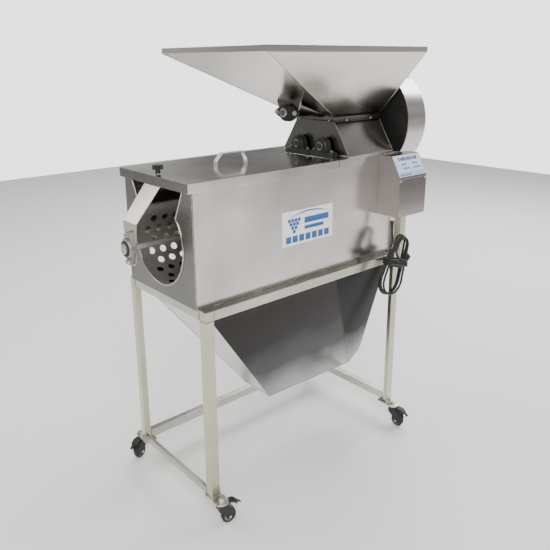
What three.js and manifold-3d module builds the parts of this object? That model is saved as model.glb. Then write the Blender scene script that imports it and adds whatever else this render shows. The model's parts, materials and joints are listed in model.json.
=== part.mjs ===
// Grape crusher destemmer: a stainless steel drum destemmer on a castered tube frame, with a
// two-roller crusher and a feed hopper on its deck.
// Millimetres, +Z up. X runs along the machine from the stem outlet (-X) to the drive (+X), and
// the control side faces -Y. The origin is under the middle of the machine, on the floor.

import * as THREE from 'three';
import { mergeVertices } from 'three/addons/utils/BufferGeometryUtils.js';
import { ConvexGeometry } from 'three/addons/geometries/ConvexGeometry.js';
import Module from 'manifold-3d';

const wasm = await Module();
wasm.setup();

// ---------------------------------------------------------------- driving dimensions
const GAP = 0.3;                 // clearance between touching pieces
const SHEET = 3;                 // wall thickness of the sheet metal

// Frame: X from 0 to FRAME_L, Y from 0 to FRAME_W while the parts are laid out.
const TUBE = 35;
const BACK_TUBE = 27;            // the back legs and end braces are a size lighter
const FLAT_LEG = 20;             // depth of the flat leg under the control box
const FRAME_L = 990;
const FRAME_W = 486;
const MID_Y = FRAME_W / 2;
const FOOT_Z = 78;               // underside of the legs
const RAIL_TOP = 778;            // the body stands on the top rails
const POST_TOP = 954.7;          // post beside the front leg carries the control box

// Casters
const PLATE_T = 6;
const STEM_OUT = 28;             // stem centre outside the frame
const FLOOR_Z = -17;
const WHEEL_R = 27;
const AXLE_Z = FLOOR_Z + WHEEL_R;
const WHEEL_W = 20;
const TRAIL = 26;

// Body of the destemmer
const BODY_X0 = -10;
const BODY_X1 = 981;
const BODY_Y0 = 33;
const BODY_Y1 = FRAME_W - 33;
const WALL_TOP = 1188;
const LID_TOP = 1195;
const LID_FLANGE = 32;
const LID_X0 = -26;
const LID_X1 = 638;
const DECK_X1 = 992;
const LID_Y0 = 28;
const LID_Y1 = FRAME_W - 28;

// Beater and perforated screen share one axis
const AXIS_Z = 966;
const OPENING_R = 150;
const SCREEN_R = 158;
const UPPER_SCREEN_X1 = 715;     // open below the rollers
const LOWER_SCREEN_X1 = 965;
const SHAFT_R = 10;

// Crusher
const HOUSE_X0 = 726;
const HOUSE_X1 = 990;
const HOUSE_TOP = 1320;
const HOUSE_BASE_HALF = 183;     // half width across Y at the deck
const HOUSE_TOP_HALF = 105;
const ROLLER_Z = LID_TOP + 34;
const ROLLER_HALF = 66;          // each roller's distance from the middle plane
const ROLLER_R = 63;
const ROLLER_CORE_R = 51;
const FEED_Z = 1360;
const FEED_BEARING_X = 568;

// Hopper
const HOP_X0 = 223;
const HOP_X1 = 1021;
const HOP_HALF = 301;
const HOP_TOP = 1596;
const HOP_RIM = 20;
const NECK_TOP = 1338;

// Drive end
const GUARD_X0 = 1041;
const GUARD_X1 = 1156;
const GUARD_R = 217;
const GUARD_Z = 1302;
const BELT_X0 = 1092;
const BELT_X1 = 1112;

// Control box
const BOX_X0 = 870;
const BOX_X1 = 1040;
const BOX_Y0 = -75;

// Power cord
const CORD_D = 9;
const GLAND = new THREE.Vector3(892, -32, 935);

// ---------------------------------------------------------------- solids and booleans
function toSolid(geometry) {
  const plain = geometry.index ? geometry.toNonIndexed() : geometry.clone();
  plain.deleteAttribute('normal');
  plain.deleteAttribute('uv');
  const merged = mergeVertices(plain, 1e-4);
  return new wasm.Manifold(new wasm.Mesh({
    numProp: 3,
    vertProperties: new Float32Array(merged.attributes.position.array),
    triVerts: new Uint32Array(merged.index.array),
  }));
}

function toGeometry(solid) {
  const mesh = solid.getMesh();
  const geometry = new THREE.BufferGeometry();
  geometry.setAttribute('position', new THREE.BufferAttribute(mesh.vertProperties, 3));
  geometry.setIndex(new THREE.BufferAttribute(mesh.triVerts, 1));
  return geometry;
}

const join = (...solids) => solids.reduce((sum, next) => sum.add(next));
const cut = (solid, ...tools) => tools.reduce((rest, tool) => rest.subtract(tool), solid);

// Axis-aligned block between two corners.
function block(x0, x1, y0, y1, z0, z1) {
  const geometry = new THREE.BoxGeometry(x1 - x0, y1 - y0, z1 - z0);
  geometry.translate((x0 + x1) / 2, (y0 + y1) / 2, (z0 + z1) / 2);
  return toSolid(geometry);
}

// Cylinder along X, Y or Z from one end position to the other.
function rod(axis, from, to, a, b, radius, sides = 20, radiusTo = radius) {
  const geometry = new THREE.CylinderGeometry(radiusTo, radius, to - from, sides);
  const middle = (from + to) / 2;
  if (axis === 'x') geometry.rotateZ(-Math.PI / 2).translate(middle, a, b);
  if (axis === 'y') geometry.translate(a, middle, b);
  if (axis === 'z') geometry.rotateX(Math.PI / 2).translate(a, b, middle);
  return toSolid(geometry);
}

// Outline in the YZ plane, extruded along X.
function slabX(shape, x0, x1, curveSegments = 12) {
  const geometry = new THREE.ExtrudeGeometry(shape, {
    depth: x1 - x0, bevelEnabled: false, curveSegments,
  });
  const axes = new THREE.Matrix4().makeBasis(
    new THREE.Vector3(0, 1, 0), new THREE.Vector3(0, 0, 1), new THREE.Vector3(1, 0, 0));
  geometry.applyMatrix4(axes).translate(x0, 0, 0);
  return toSolid(geometry);
}

// Outline in the XZ plane, extruded along Y.
function slabY(shape, y0, y1, curveSegments = 12) {
  const geometry = new THREE.ExtrudeGeometry(shape, {
    depth: y1 - y0, bevelEnabled: false, curveSegments,
  });
  geometry.rotateX(Math.PI / 2).translate(0, y1, 0);
  return toSolid(geometry);
}

const outline = (...points) => new THREE.Shape(points.map(([a, b]) => new THREE.Vector2(a, b)));
const hull = (...points) => toSolid(new ConvexGeometry(
  points.map(([x, y, z]) => new THREE.Vector3(x, y, z))));

// The four corners of a horizontal rectangle centred on the machine's middle plane.
const ring = (x0, x1, half, z) => [
  [x0, MID_Y - half, z], [x1, MID_Y - half, z], [x1, MID_Y + half, z], [x0, MID_Y + half, z]];

// ---------------------------------------------------------------- meshes
const machine = new THREE.Group();

function paint(color, roughness, metalness) {
  return new THREE.MeshStandardMaterial({ color, roughness, metalness });
}
const STEEL = [0xb9b7b0, 0.3, 1];
const TUBE_STEEL = [0xb4b29f, 0.38, 1];
const CAST_IRON = [0x3a3a38, 0.6, 0.6];
const BLACK_PLASTIC = [0x1b1b1a, 0.5, 0];
const RUBBER = [0x151515, 0.75, 0];

function place(name, solid, look) {
  const mesh = new THREE.Mesh(toGeometry(solid), paint(...look));
  mesh.name = name;
  machine.add(mesh);
}

// ---------------------------------------------------------------- frame
function buildLegs() {
  const railZ = RAIL_TOP - TUBE;
  const right = FRAME_L - TUBE;
  const back = FRAME_W - TUBE;
  const leg = (x0, x1, y0, y1, top) => block(x0, x1, y0, y1, FOOT_Z, top);
  place('leg_front_left', leg(0, TUBE, 0, TUBE, railZ - GAP), TUBE_STEEL);
  place('leg_back_left',
    leg(0, BACK_TUBE, FRAME_W - BACK_TUBE, FRAME_W, railZ - GAP), TUBE_STEEL);
  const post = block(FRAME_L, FRAME_L + TUBE, 0, TUBE, railZ, POST_TOP);
  place('leg_front_right', join(leg(right, FRAME_L, 0, FLAT_LEG, RAIL_TOP), post), TUBE_STEEL);
  const corner = block(right, FRAME_L, back, FRAME_W, railZ, RAIL_TOP);
  place('leg_back_right', join(corner,
    leg(FRAME_L - BACK_TUBE, FRAME_L, FRAME_W - BACK_TUBE, FRAME_W, RAIL_TOP)), TUBE_STEEL);
}

function buildRails() {
  const z0 = RAIL_TOP - TUBE;
  const right = FRAME_L - TUBE;
  const back = FRAME_W - TUBE;
  place('rail_front', block(0, right - GAP, 0, TUBE, z0, RAIL_TOP), TUBE_STEEL);
  place('rail_back', block(0, right - GAP, back, FRAME_W, z0, RAIL_TOP), TUBE_STEEL);
  place('rail_left', block(0, TUBE, TUBE + GAP, back - GAP, z0, RAIL_TOP), TUBE_STEEL);
  place('rail_right', block(right, FRAME_L, TUBE + GAP, back - GAP, z0, RAIL_TOP), TUBE_STEEL);
}

function buildBraces() {
  const back = FRAME_W - BACK_TUBE;
  const right = FRAME_L - BACK_TUBE;
  const top = FOOT_Z + TUBE;
  place('brace_left', block(0, 15, TUBE + GAP, back - GAP, FOOT_Z, FOOT_Z + 25), TUBE_STEEL);
  place('brace_right',
    block(right, FRAME_L, FLAT_LEG + GAP, back - GAP, FOOT_Z, top), TUBE_STEEL);
  place('brace_back',
    block(BACK_TUBE + GAP, right - GAP, back, FRAME_W, FOOT_Z, top), TUBE_STEEL);
}

// ---------------------------------------------------------------- casters
const CASTERS = [
  { name: 'front_left', x: 18, side: -1, heading: -9 },
  { name: 'front_right', x: FRAME_L - 22, side: -1, heading: -83 },
  { name: 'back_left', x: 18, side: 1, heading: -161 },
  { name: 'back_right', x: FRAME_L - 22, side: 1, heading: 35 },
];

// Foot plate under a leg, with the threaded stem and its nut at the rounded outer end.
function casterPlate(x, side) {
  const top = FOOT_Z - GAP;
  const bottom = top - PLATE_T;
  const edge = side < 0 ? 0 : FRAME_W;
  const stemY = edge + side * STEM_OUT;
  const inner = edge - side * 40;
  const slab = block(x - 25, x + 25, Math.min(stemY, inner), Math.max(stemY, inner), bottom, top);
  return join(
    slab,
    rod('z', bottom, top, x, stemY, 25, 24),
    rod('z', bottom - 12, top + 15, x, stemY, 5, 12),
    rod('z', top, top + 8, x, stemY, 9.2, 6));
}

// Fork with its trail along +X from the stem; the wheel's axle is part of it.
function casterFork() {
  const top = FOOT_Z - GAP - PLATE_T - GAP;
  const crown = WHEEL_R + AXLE_Z + 3;
  const cheeks = outline([-15, top - 8], [16, top - 8], [42, crown + 2], [50, AXLE_Z + 14],
    [46, AXLE_Z - 6], [30, AXLE_Z - 14], [16, AXLE_Z - 8], [4, AXLE_Z + 16], [-15, crown + 4]);
  const half = WHEEL_W / 2 + 4;
  const shell = slabY(cheeks, -half, half);
  const slot = block(-20, 70, -half + 3, half - 3, FLOOR_Z - 5, crown);
  const neck = rod('z', top - 12, top, 0, 0, 15, 20);
  const axle = rod('y', -half + 1, half - 1, TRAIL, AXLE_Z, 4, 12);
  return cut(join(cut(shell, slot), neck, axle), rod('z', top - 24, top + 1, 0, 0, 5.4, 12));
}

function casterWheel() {
  const half = WHEEL_W / 2;
  return cut(
    rod('y', -half, half, TRAIL, AXLE_Z, WHEEL_R, 40),
    rod('y', -half - 1, half + 1, TRAIL, AXLE_Z, 4.4, 12));
}

// Brake pedal over the fork's trailing end, with its release tail.
function casterBrake() {
  const z = FOOT_Z;
  const lever = outline([20, z - 13.6], [22, z - 7.5], [44, z - 8], [57, z - 17], [60, z - 26],
    [53, z - 28], [46, z - 20], [30, z - 14.5]);
  const tail = outline([56, z - 22], [60, z - 19], [76, z - 32], [74, z - 35]);
  return join(slabY(lever, -12, 12), slabY(tail, -6, 6));
}

function buildCasters() {
  for (const caster of CASTERS) {
    const stemY = (caster.side < 0 ? 0 : FRAME_W) + caster.side * STEM_OUT;
    const put = (solid) => solid.rotate([0, 0, caster.heading]).translate([caster.x, stemY, 0]);
    place(`caster_plate_${caster.name}`, casterPlate(caster.x, caster.side), STEEL);
    place(`caster_fork_${caster.name}`, put(casterFork()), BLACK_PLASTIC);
    place(`caster_wheel_${caster.name}`, put(casterWheel()), RUBBER);
    place(`caster_brake_${caster.name}`, put(casterBrake()), BLACK_PLASTIC);
  }
}

// ---------------------------------------------------------------- body
// Long window low in the back wall, beside the screen: from X, to X, from Z, to Z.
const BACK_WINDOW = [70, 900, 803, 900];

function buildWalls() {
  const z0 = RAIL_TOP + GAP;
  const x0 = BODY_X0 + SHEET + GAP;
  const x1 = BODY_X1 - SHEET - GAP;
  place('wall_front', block(x0, x1, BODY_Y0, BODY_Y0 + SHEET, z0, WALL_TOP), STEEL);
  const back = block(x0, x1, BODY_Y1 - SHEET, BODY_Y1, z0, WALL_TOP);
  const [windowX0, windowX1, windowZ0, windowZ1] = BACK_WINDOW;
  const opening = block(windowX0, windowX1, BODY_Y1 - SHEET - 1, BODY_Y1 + 1, windowZ0, windowZ1);
  place('wall_back', cut(back, opening), STEEL);
}

// End plate at the stem outlet: a round opening for the screen that widens to a notch at the top.
function buildOutletPlate() {
  const neckHalf = 112;
  const notchHalf = 172;
  const neckZ = AXIS_Z + Math.sqrt(OPENING_R ** 2 - neckHalf ** 2);
  const neckAngle = Math.atan2(neckZ - AXIS_Z, neckHalf);
  const plate = new THREE.Shape();
  plate.moveTo(BODY_Y0, RAIL_TOP + GAP);
  plate.lineTo(BODY_Y1, RAIL_TOP + GAP);
  plate.lineTo(BODY_Y1, WALL_TOP);
  plate.lineTo(MID_Y + notchHalf, WALL_TOP);
  plate.lineTo(MID_Y + neckHalf, neckZ);
  plate.absarc(MID_Y, AXIS_Z, OPENING_R, neckAngle, Math.PI - neckAngle, true);
  plate.lineTo(MID_Y - notchHalf, WALL_TOP);
  plate.lineTo(BODY_Y0, WALL_TOP);
  place('end_plate_outlet', slabX(plate, BODY_X0, BODY_X0 + SHEET, 30), STEEL);
}

function buildDrivePlateEnd() {
  const plate = block(BODY_X1 - SHEET, BODY_X1, BODY_Y0, BODY_Y1, RAIL_TOP + GAP, WALL_TOP);
  const boss = rod('x', BODY_X1, BODY_X1 + 4, MID_Y, AXIS_Z, 34, 20);
  const bore = rod('x', BODY_X1 - 10, BODY_X1 + 10, MID_Y, AXIS_Z, SHAFT_R + 1, 16);
  place('end_plate_drive', cut(join(plate, boss), bore), STEEL);
}

// Funnel under the body: a short upright band, then a long slope from the outlet end and a
// straight wall at the drive end. The long sides fold where the slope meets the spout.
function buildJuiceChute() {
  const foldZ = RAIL_TOP - TUBE;
  const topZ = foldZ + 30;
  const edge = TUBE + GAP;
  const x1 = FRAME_L - TUBE - GAP;
  const mirror = (points) => points.concat(points.map(([x, y, z]) => [x, FRAME_W - y, z]));
  const loops = (t, drop) => ({
    top: mirror([[edge + t, edge + t, topZ + drop], [x1 - t, edge + t, topZ + drop]]),
    fold: mirror([[edge + t, edge + t, foldZ], [x1 - t, edge + t, foldZ]]),
    bottom: mirror([[409 + t, 166 + t, 249 - drop], [861, 152 + t, 253 - drop],
      [x1 - t, 166 + t, 285 - drop]]),
  });
  const outer = loops(0, 0);
  const inner = loops(SHEET, 4);
  const body = ({ top, fold, bottom }) => join(hull(...top, ...fold), hull(...fold, ...bottom));
  place('juice_chute', cut(body(outer), body(inner)), STEEL);
}

// Sheet cover with flanges turned down over the body's walls.
function cover(x0, x1, flangeLeft, flangeRight) {
  const skin = block(x0, x1, LID_Y0, LID_Y1, LID_TOP - LID_FLANGE, LID_TOP);
  const insideX0 = flangeLeft ? x0 + SHEET : x0 - 1;
  const insideX1 = flangeRight ? x1 - SHEET : x1 + 1;
  return cut(skin, block(insideX0, insideX1, LID_Y0 + SHEET, LID_Y1 - SHEET,
    LID_TOP - LID_FLANGE - 1, LID_TOP - SHEET));
}

const KNOB_X = 2;

function buildLid() {
  const hole = rod('z', LID_TOP - 10, LID_TOP + 1, KNOB_X, MID_Y, 6, 12);
  place('lid', cut(cover(LID_X0, LID_X1, true, false), hole), STEEL);
}

function buildDeck() {
  const throat = block(HOUSE_X0 + 6, HOUSE_X1 - 6, MID_Y - 160, MID_Y + 160,
    LID_TOP - 10, LID_TOP + 1);
  place('deck', cut(cover(LID_X1 + 3, DECK_X1, false, true), throat), STEEL);
}

function buildLidHandle() {
  const z0 = LID_TOP + GAP;
  const strip = outline(
    [233, z0], [237.5, z0], [237.5, 1210], [260, 1234.5], [352, 1234.5], [367.5, 1207],
    [367.5, z0], [372, z0], [372, 1208], [354, 1239], [258, 1239], [233, 1212]);
  place('lid_handle', slabY(strip, MID_Y - 10, MID_Y + 10), STEEL);
}

// Star knob whose stud passes the lid and screws into the cross bar.
function buildLidKnob() {
  const z0 = LID_TOP + GAP;
  const lobes = Array.from({ length: 6 }, (unused, i) => {
    const angle = (i * Math.PI) / 3;
    return rod('z', z0 + 16, z0 + 30, KNOB_X + 14 * Math.cos(angle), MID_Y + 14 * Math.sin(angle),
      7, 10);
  });
  place('lid_knob', join(
    rod('z', z0 - 28, z0 + 20, KNOB_X, MID_Y, 5, 12),
    rod('z', z0, z0 + 18, KNOB_X, MID_Y, 9, 16),
    rod('z', z0 + 16, z0 + 30, KNOB_X, MID_Y, 15, 16), ...lobes), BLACK_PLASTIC);
}

// ---------------------------------------------------------------- screen and beater
const SCREEN_WALL = 2.5;
const SCREEN_EDGE = 40;          // degrees above the axis where the upper screen's sides end

// Tube wall between two angles in degrees, from x0 to x1.
function screenArc(from, to, x0, x1) {
  const start = THREE.MathUtils.degToRad(from);
  const end = THREE.MathUtils.degToRad(to);
  const arc = new THREE.Shape();
  arc.absarc(MID_Y, AXIS_Z, SCREEN_R, start, end, false);
  arc.absarc(MID_Y, AXIS_Z, SCREEN_R - SCREEN_WALL, end, start, true);
  return slabX(arc, x0, x1, Math.ceil((to - from) / 13));
}

// Flat lips along both sides, where the two screens meet. upward is 1 or -1.
function screenLips(upward, x0, x1) {
  const near = AXIS_Z + upward * 0.4;
  const far = AXIS_Z + upward * 3.4;
  const reach = BODY_Y1 - SHEET - 1;
  const lip = (y0, y1) => block(x0, x1, y0, y1, Math.min(near, far), Math.max(near, far));
  return [lip(MID_Y + SCREEN_R - 1, reach), lip(FRAME_W - reach, MID_Y - SCREEN_R + 1)];
}

// Staggered holes: radial six-sided punches, so each one pierces the wall once.
function screenHoles(angles, x1) {
  const pitchX = 84;
  return angles.flatMap((angle, row) => {
    const first = 30 + (row % 2 ? pitchX / 2 : 0);
    const count = Math.ceil((x1 - 20 - first) / pitchX);
    return Array.from({ length: count }, (unused, i) => {
      const punch = new THREE.CylinderGeometry(15, 15, 16, 6);
      punch.translate(0, SCREEN_R, 0);
      punch.rotateX(THREE.MathUtils.degToRad(angle) - Math.PI / 2);
      return toSolid(punch.translate(first + i * pitchX, MID_Y, AXIS_Z));
    });
  });
}

// The lower screen is a half tube. The upper one is a strip along each side, open at the top
// and tied by two hoops.
function buildScreen() {
  const x0 = BODY_X0 + SHEET + 1;
  const lower = join(screenArc(180.3, 359.7, x0, LOWER_SCREEN_X1),
    ...screenLips(-1, x0, LOWER_SCREEN_X1));
  place('screen_lower',
    cut(lower, ...screenHoles([-30, -60, -90, -120, -150], LOWER_SCREEN_X1)), STEEL);
  const hoop = (x) => screenArc(SCREEN_EDGE - 0.5, 180.5 - SCREEN_EDGE, x, x + 14);
  const upper = join(
    screenArc(0.3, SCREEN_EDGE, x0, UPPER_SCREEN_X1),
    screenArc(180 - SCREEN_EDGE, 179.7, x0, UPPER_SCREEN_X1),
    hoop(340), hoop(UPPER_SCREEN_X1 - 14), ...screenLips(1, x0, UPPER_SCREEN_X1));
  place('screen_upper', cut(upper, ...screenHoles([20, 160], UPPER_SCREEN_X1)), STEEL);
}

const STRAP_X = -115;
const STRAP_BEND_Z = 1051;
const STRAP_T = 4;

// Hanger for the outlet bearing: cross bar under the lid, sloping arm, then a hanging plate.
function buildBearingStrap() {
  const t = STRAP_T;
  const barTop = WALL_TOP - 6;
  const bar = block(-6, 34, BODY_Y0 + SHEET + GAP, BODY_Y1 - SHEET - GAP, barTop - t, barTop);
  const arm = hull(
    ...ring(-6, 0, 50, barTop - t), ...ring(-6, 0, 50, barTop),
    ...ring(STRAP_X, STRAP_X + t, 43, STRAP_BEND_Z));
  const plate = hull(
    ...ring(STRAP_X, STRAP_X + t, 43, STRAP_BEND_Z), ...ring(STRAP_X, STRAP_X + t, 27, 923),
    ...ring(STRAP_X, STRAP_X + t, 14, 906));
  place('bearing_strap', cut(
    join(bar, arm, plate),
    rod('x', STRAP_X - 5, STRAP_X + 20, MID_Y, AXIS_Z, 15, 20),
    rod('z', barTop - 20, barTop + 10, KNOB_X, MID_Y, 6, 12)), STEEL);
}

// Two-bolt flange bearing on the face at x, facing -X. The bolts lie along Z or along Y.
function flangeBearing(faceX, centreZ, boltSpan, upright) {
  const bolt = (sign) => {
    const along = (sign * boltSpan) / 2;
    return upright ? [MID_Y, centreZ + along] : [MID_Y + along, centreZ];
  };
  const lobe = (sign) => rod('x', faceX - 11, faceX, ...bolt(sign), 12, 16);
  const web = (sign) => {
    const [y, z] = bolt(sign);
    const across = upright ? [[-1, 0], [1, 0]] : [[0, -1], [0, 1]];
    const points = across.flatMap(([dy, dz]) => [
      [faceX, MID_Y + dy * 27, centreZ + dz * 27], [faceX - 11, MID_Y + dy * 27, centreZ + dz * 27],
      [faceX, y + dy * 12, z + dz * 12], [faceX - 11, y + dy * 12, z + dz * 12]]);
    return hull(...points);
  };
  const head = (sign) => rod('x', faceX - 19, faceX - 10, ...bolt(sign), 8, 6);
  const body = join(
    rod('x', faceX - 20, faceX, MID_Y, centreZ, 32, 28),
    rod('x', faceX - 28, faceX - 18, MID_Y, centreZ, 25, 24),
    lobe(1), lobe(-1), web(1), web(-1), head(1), head(-1));
  return cut(body, rod('x', faceX - 40, faceX + 5, MID_Y, centreZ, SHAFT_R + 0.4, 16));
}

function buildOutletBearing() {
  place('bearing_outlet', flangeBearing(STRAP_X - GAP, AXIS_Z, 90, true), [0x8d8b87, 0.5, 0.7]);
}

// Beater: shaft with paddles on a helix, and the small belt pulley at the drive end.
function buildBeater() {
  const shaft = rod('x', -140, BELT_X1 + 6, MID_Y, AXIS_Z, SHAFT_R, 16);
  const tube = rod('x', 150, 860, MID_Y, AXIS_Z, 15, 16);
  const paddles = Array.from({ length: 12 }, (unused, i) => {
    const arm = join(block(-5, 5, -5, 5, 8, 112), block(-20, 20, -4, 4, 100, 138));
    return arm.rotate([90 + i * 60, 0, 0]).translate([118 + i * 66, MID_Y, AXIS_Z]);
  });
  const pulley = rod('x', BELT_X0 - 3, BELT_X1 + 3, MID_Y, AXIS_Z, 26, 24);
  place('beater', join(shaft, tube, pulley, ...paddles), STEEL);
}

// ---------------------------------------------------------------- crusher
function buildRollerHousing() {
  const z0 = LID_TOP + GAP;
  const outer = hull(...ring(HOUSE_X0, HOUSE_X1, HOUSE_BASE_HALF, z0),
    ...ring(HOUSE_X0, HOUSE_X1, HOUSE_TOP_HALF, HOUSE_TOP));
  const inner = hull(
    ...ring(HOUSE_X0 + SHEET, HOUSE_X1 - SHEET, HOUSE_BASE_HALF - SHEET + 1, z0 - 1),
    ...ring(HOUSE_X0 + SHEET, HOUSE_X1 - SHEET, HOUSE_TOP_HALF - SHEET - 1, HOUSE_TOP + 1));
  const bores = [-1, 1].map((side) => rod('x', HOUSE_X0 - 10, HOUSE_X1 + 10,
    MID_Y + side * ROLLER_HALF, ROLLER_Z, SHAFT_R + 2, 16));
  place('roller_housing', cut(outer, inner, ...bores), STEEL);
}

// Lobed crushing roller with its shaft, drive gear and, on the front one, the belt pulley.
function roller(side, withPulley) {
  const y = MID_Y + side * ROLLER_HALF;
  const lobes = 8;
  const section = new THREE.Shape();
  const depth = (ROLLER_R - ROLLER_CORE_R) / 2;
  const points = Array.from({ length: lobes * 4 }, (unused, i) => {
    const angle = (i / (lobes * 4)) * 2 * Math.PI;
    const radius = ROLLER_R - depth + depth * Math.cos(lobes * angle);
    return new THREE.Vector2(y + radius * Math.cos(angle), ROLLER_Z + radius * Math.sin(angle));
  });
  section.setFromPoints(points);
  const shaftEnd = withPulley ? BELT_X1 + 6 : 1076;
  const solids = [
    slabX(section, HOUSE_X0 + 10, BODY_X1 - 8),
    rod('x', 678, shaftEnd, y, ROLLER_Z, SHAFT_R, 16),
    rod('x', 1052, 1070, y, ROLLER_Z, ROLLER_HALF - 0.8, 32),
  ];
  if (withPulley) solids.push(rod('x', BELT_X0 - 3, BELT_X1 + 3, y, ROLLER_Z, 62, 28));
  return join(...solids);
}

const PILLOW_X = 704;

// Pillow block standing on the deck at the roller shaft's outlet side.
function pillowBlock(side) {
  const y = MID_Y + side * ROLLER_HALF;
  const x = PILLOW_X;
  const z0 = LID_TOP + GAP;
  const body = join(
    block(x - 19, x + 19, y - 63, y + 63, z0, z0 + 13),
    rod('x', x - 14, x + 14, y, ROLLER_Z, 31, 24),
    block(x - 14, x + 14, y - 31, y + 31, z0, ROLLER_Z),
    rod('x', x - 21, x + 14, y, ROLLER_Z, 21, 24),
    rod('z', z0 + 10, z0 + 22, x, y - 47, 8, 6),
    rod('z', z0 + 10, z0 + 22, x, y + 47, 8, 6));
  return cut(body, rod('x', x - 40, x + 40, y, ROLLER_Z, SHAFT_R + 0.4, 16));
}

function buildRollers() {
  place('roller_front', roller(-1, true), [0x2b2b2a, 0.6, 0.2]);
  place('roller_back', roller(1, false), [0x2b2b2a, 0.6, 0.2]);
  place('pillow_block_front', pillowBlock(-1), CAST_IRON);
  place('pillow_block_back', pillowBlock(1), CAST_IRON);
}

// Hopper: neck on the roller housing, a long slope over the lid, and a folded rim.
function buildHopper() {
  const neckZ0 = HOUSE_TOP + GAP;
  const flareTop = HOP_TOP - HOP_RIM;
  const x0 = HOUSE_X0;
  const x1 = HOUSE_X1;
  const half = HOUSE_TOP_HALF;
  const t = SHEET;
  const shell = join(
    block(x0, x1, MID_Y - half, MID_Y + half, neckZ0, NECK_TOP + 0.5),
    hull(...ring(x0, x1, half, NECK_TOP), ...ring(HOP_X0 + 4, HOP_X1 - 4, HOP_HALF - 4, flareTop + 2)),
    block(HOP_X0, HOP_X1, MID_Y - HOP_HALF, MID_Y + HOP_HALF, flareTop, HOP_TOP),
    block(x0 - 12, x1 + 6, MID_Y - half - 12, MID_Y + half + 12, neckZ0, neckZ0 + t));
  const hollow = join(
    block(x0 + t, x1 - t, MID_Y - half + t, MID_Y + half - t, neckZ0 - 1, NECK_TOP + 1),
    hull(...ring(x0 + t, x1 - t, half - t, NECK_TOP),
      ...ring(HOP_X0 + 9, HOP_X1 - 7, HOP_HALF - 8, flareTop + 3)),
    block(HOP_X0 + 9, HOP_X1 - 7, MID_Y - HOP_HALF + 8, MID_Y + HOP_HALF - 8,
      flareTop + 1, HOP_TOP + 1));
  const slope = (flareTop - NECK_TOP) / (x0 - HOP_X0);
  const plateX = FEED_BEARING_X + 14;
  const weldZ = NECK_TOP + (x0 - plateX) * slope + 1;
  const bracket = join(
    block(plateX, plateX + 4, MID_Y - 66, MID_Y + 66, NECK_TOP - 6, weldZ),
    block(plateX, x0 + 1, MID_Y - 62, MID_Y + 62, NECK_TOP - 6, NECK_TOP - 3),
    ...[-62, 59].map((y) => hull(
      [plateX, MID_Y + y, NECK_TOP - 6], [plateX, MID_Y + y, weldZ], [plateX, MID_Y + y + 3, weldZ],
      [plateX, MID_Y + y + 3, NECK_TOP - 6], [x0 + 1, MID_Y + y, NECK_TOP - 6],
      [x0 + 1, MID_Y + y + 3, NECK_TOP - 6], [x0 + 1, MID_Y + y, NECK_TOP + 1],
      [x0 + 1, MID_Y + y + 3, NECK_TOP + 1])));
  const bores = rod('x', plateX - 10, x0 + 20, MID_Y, FEED_Z, SHAFT_R + 3, 16);
  const exit = rod('x', x1 - 20, x1 + 60, MID_Y, FEED_Z, SHAFT_R + 3, 16);
  place('hopper', cut(join(cut(shell, hollow), bracket), bores, exit), STEEL);
}

// Feed shaft over the rollers: paddles in the hopper's neck, pulley in the guard.
function buildFeedShaft() {
  const paddles = Array.from({ length: 4 }, (unused, i) => join(
    block(-4, 4, -4, 4, 8, 40), block(-14, 14, -3, 3, 34, 50))
    .rotate([i * 90, 0, 0]).translate([768 + i * 56, MID_Y, FEED_Z]));
  place('feed_shaft', join(
    rod('x', 541, BELT_X1 + 6, MID_Y, FEED_Z, SHAFT_R, 16),
    rod('x', BELT_X0 - 3, BELT_X1 + 3, MID_Y, FEED_Z, 42, 24), ...paddles), STEEL);
  const face = FEED_BEARING_X + 14 - GAP;
  place('bearing_feed', flangeBearing(face, FEED_Z, 99, false), CAST_IRON);
}

// ---------------------------------------------------------------- drive end
// Round back plate of the belt guard, with three shaft bosses, stood off the end plate.
function buildGuardPlate() {
  const t = 4;
  const boss = (y, z) => rod('x', GUARD_X0 - 14, GUARD_X0 + t, y, z, 26, 20);
  const bore = (y, z) => rod('x', GUARD_X0 - 20, GUARD_X0 + 10, y, z, SHAFT_R + 1, 16);
  const shafts = [[MID_Y - ROLLER_HALF, ROLLER_Z], [MID_Y + ROLLER_HALF, ROLLER_Z],
    [MID_Y, FEED_Z]];
  const foot = block(GUARD_X0, GUARD_X0 + t, 90, FRAME_W - 90, 1085, 1180);
  const spacer = (y) => rod('x', BODY_X1 + GAP, GUARD_X0 + 1, y, 1130, 12, 16);
  place('guard_plate', cut(
    join(rod('x', GUARD_X0, GUARD_X0 + t, MID_Y, GUARD_Z, GUARD_R - SHEET - 1, 48), foot,
      spacer(115), spacer(FRAME_W - 115), ...shafts.map(([y, z]) => boss(y, z))),
    ...shafts.map(([y, z]) => bore(y, z))), [0x191919, 0.55, 0.4]);
}

// Drum-shaped belt guard with a straight tail down to the beater's pulley.
function buildGuard() {
  const x0 = GUARD_X0;
  const tail = (t) => block(BELT_X0 - 12 - (t ? 1 : 0), GUARD_X1 - t, 118 + t, 300 - t,
    900 + t, 1130 + t);
  const drum = (t) => rod('x', x0 - (t ? 1 : 0), GUARD_X1 - t, MID_Y, GUARD_Z, GUARD_R - t, 48);
  place('belt_guard', cut(join(drum(0), tail(0)), drum(SHEET), tail(SHEET),
    block(x0 - 1, x0 + 6, 89, FRAME_W - 89, 1080, 1180)), STEEL);
}

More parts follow.
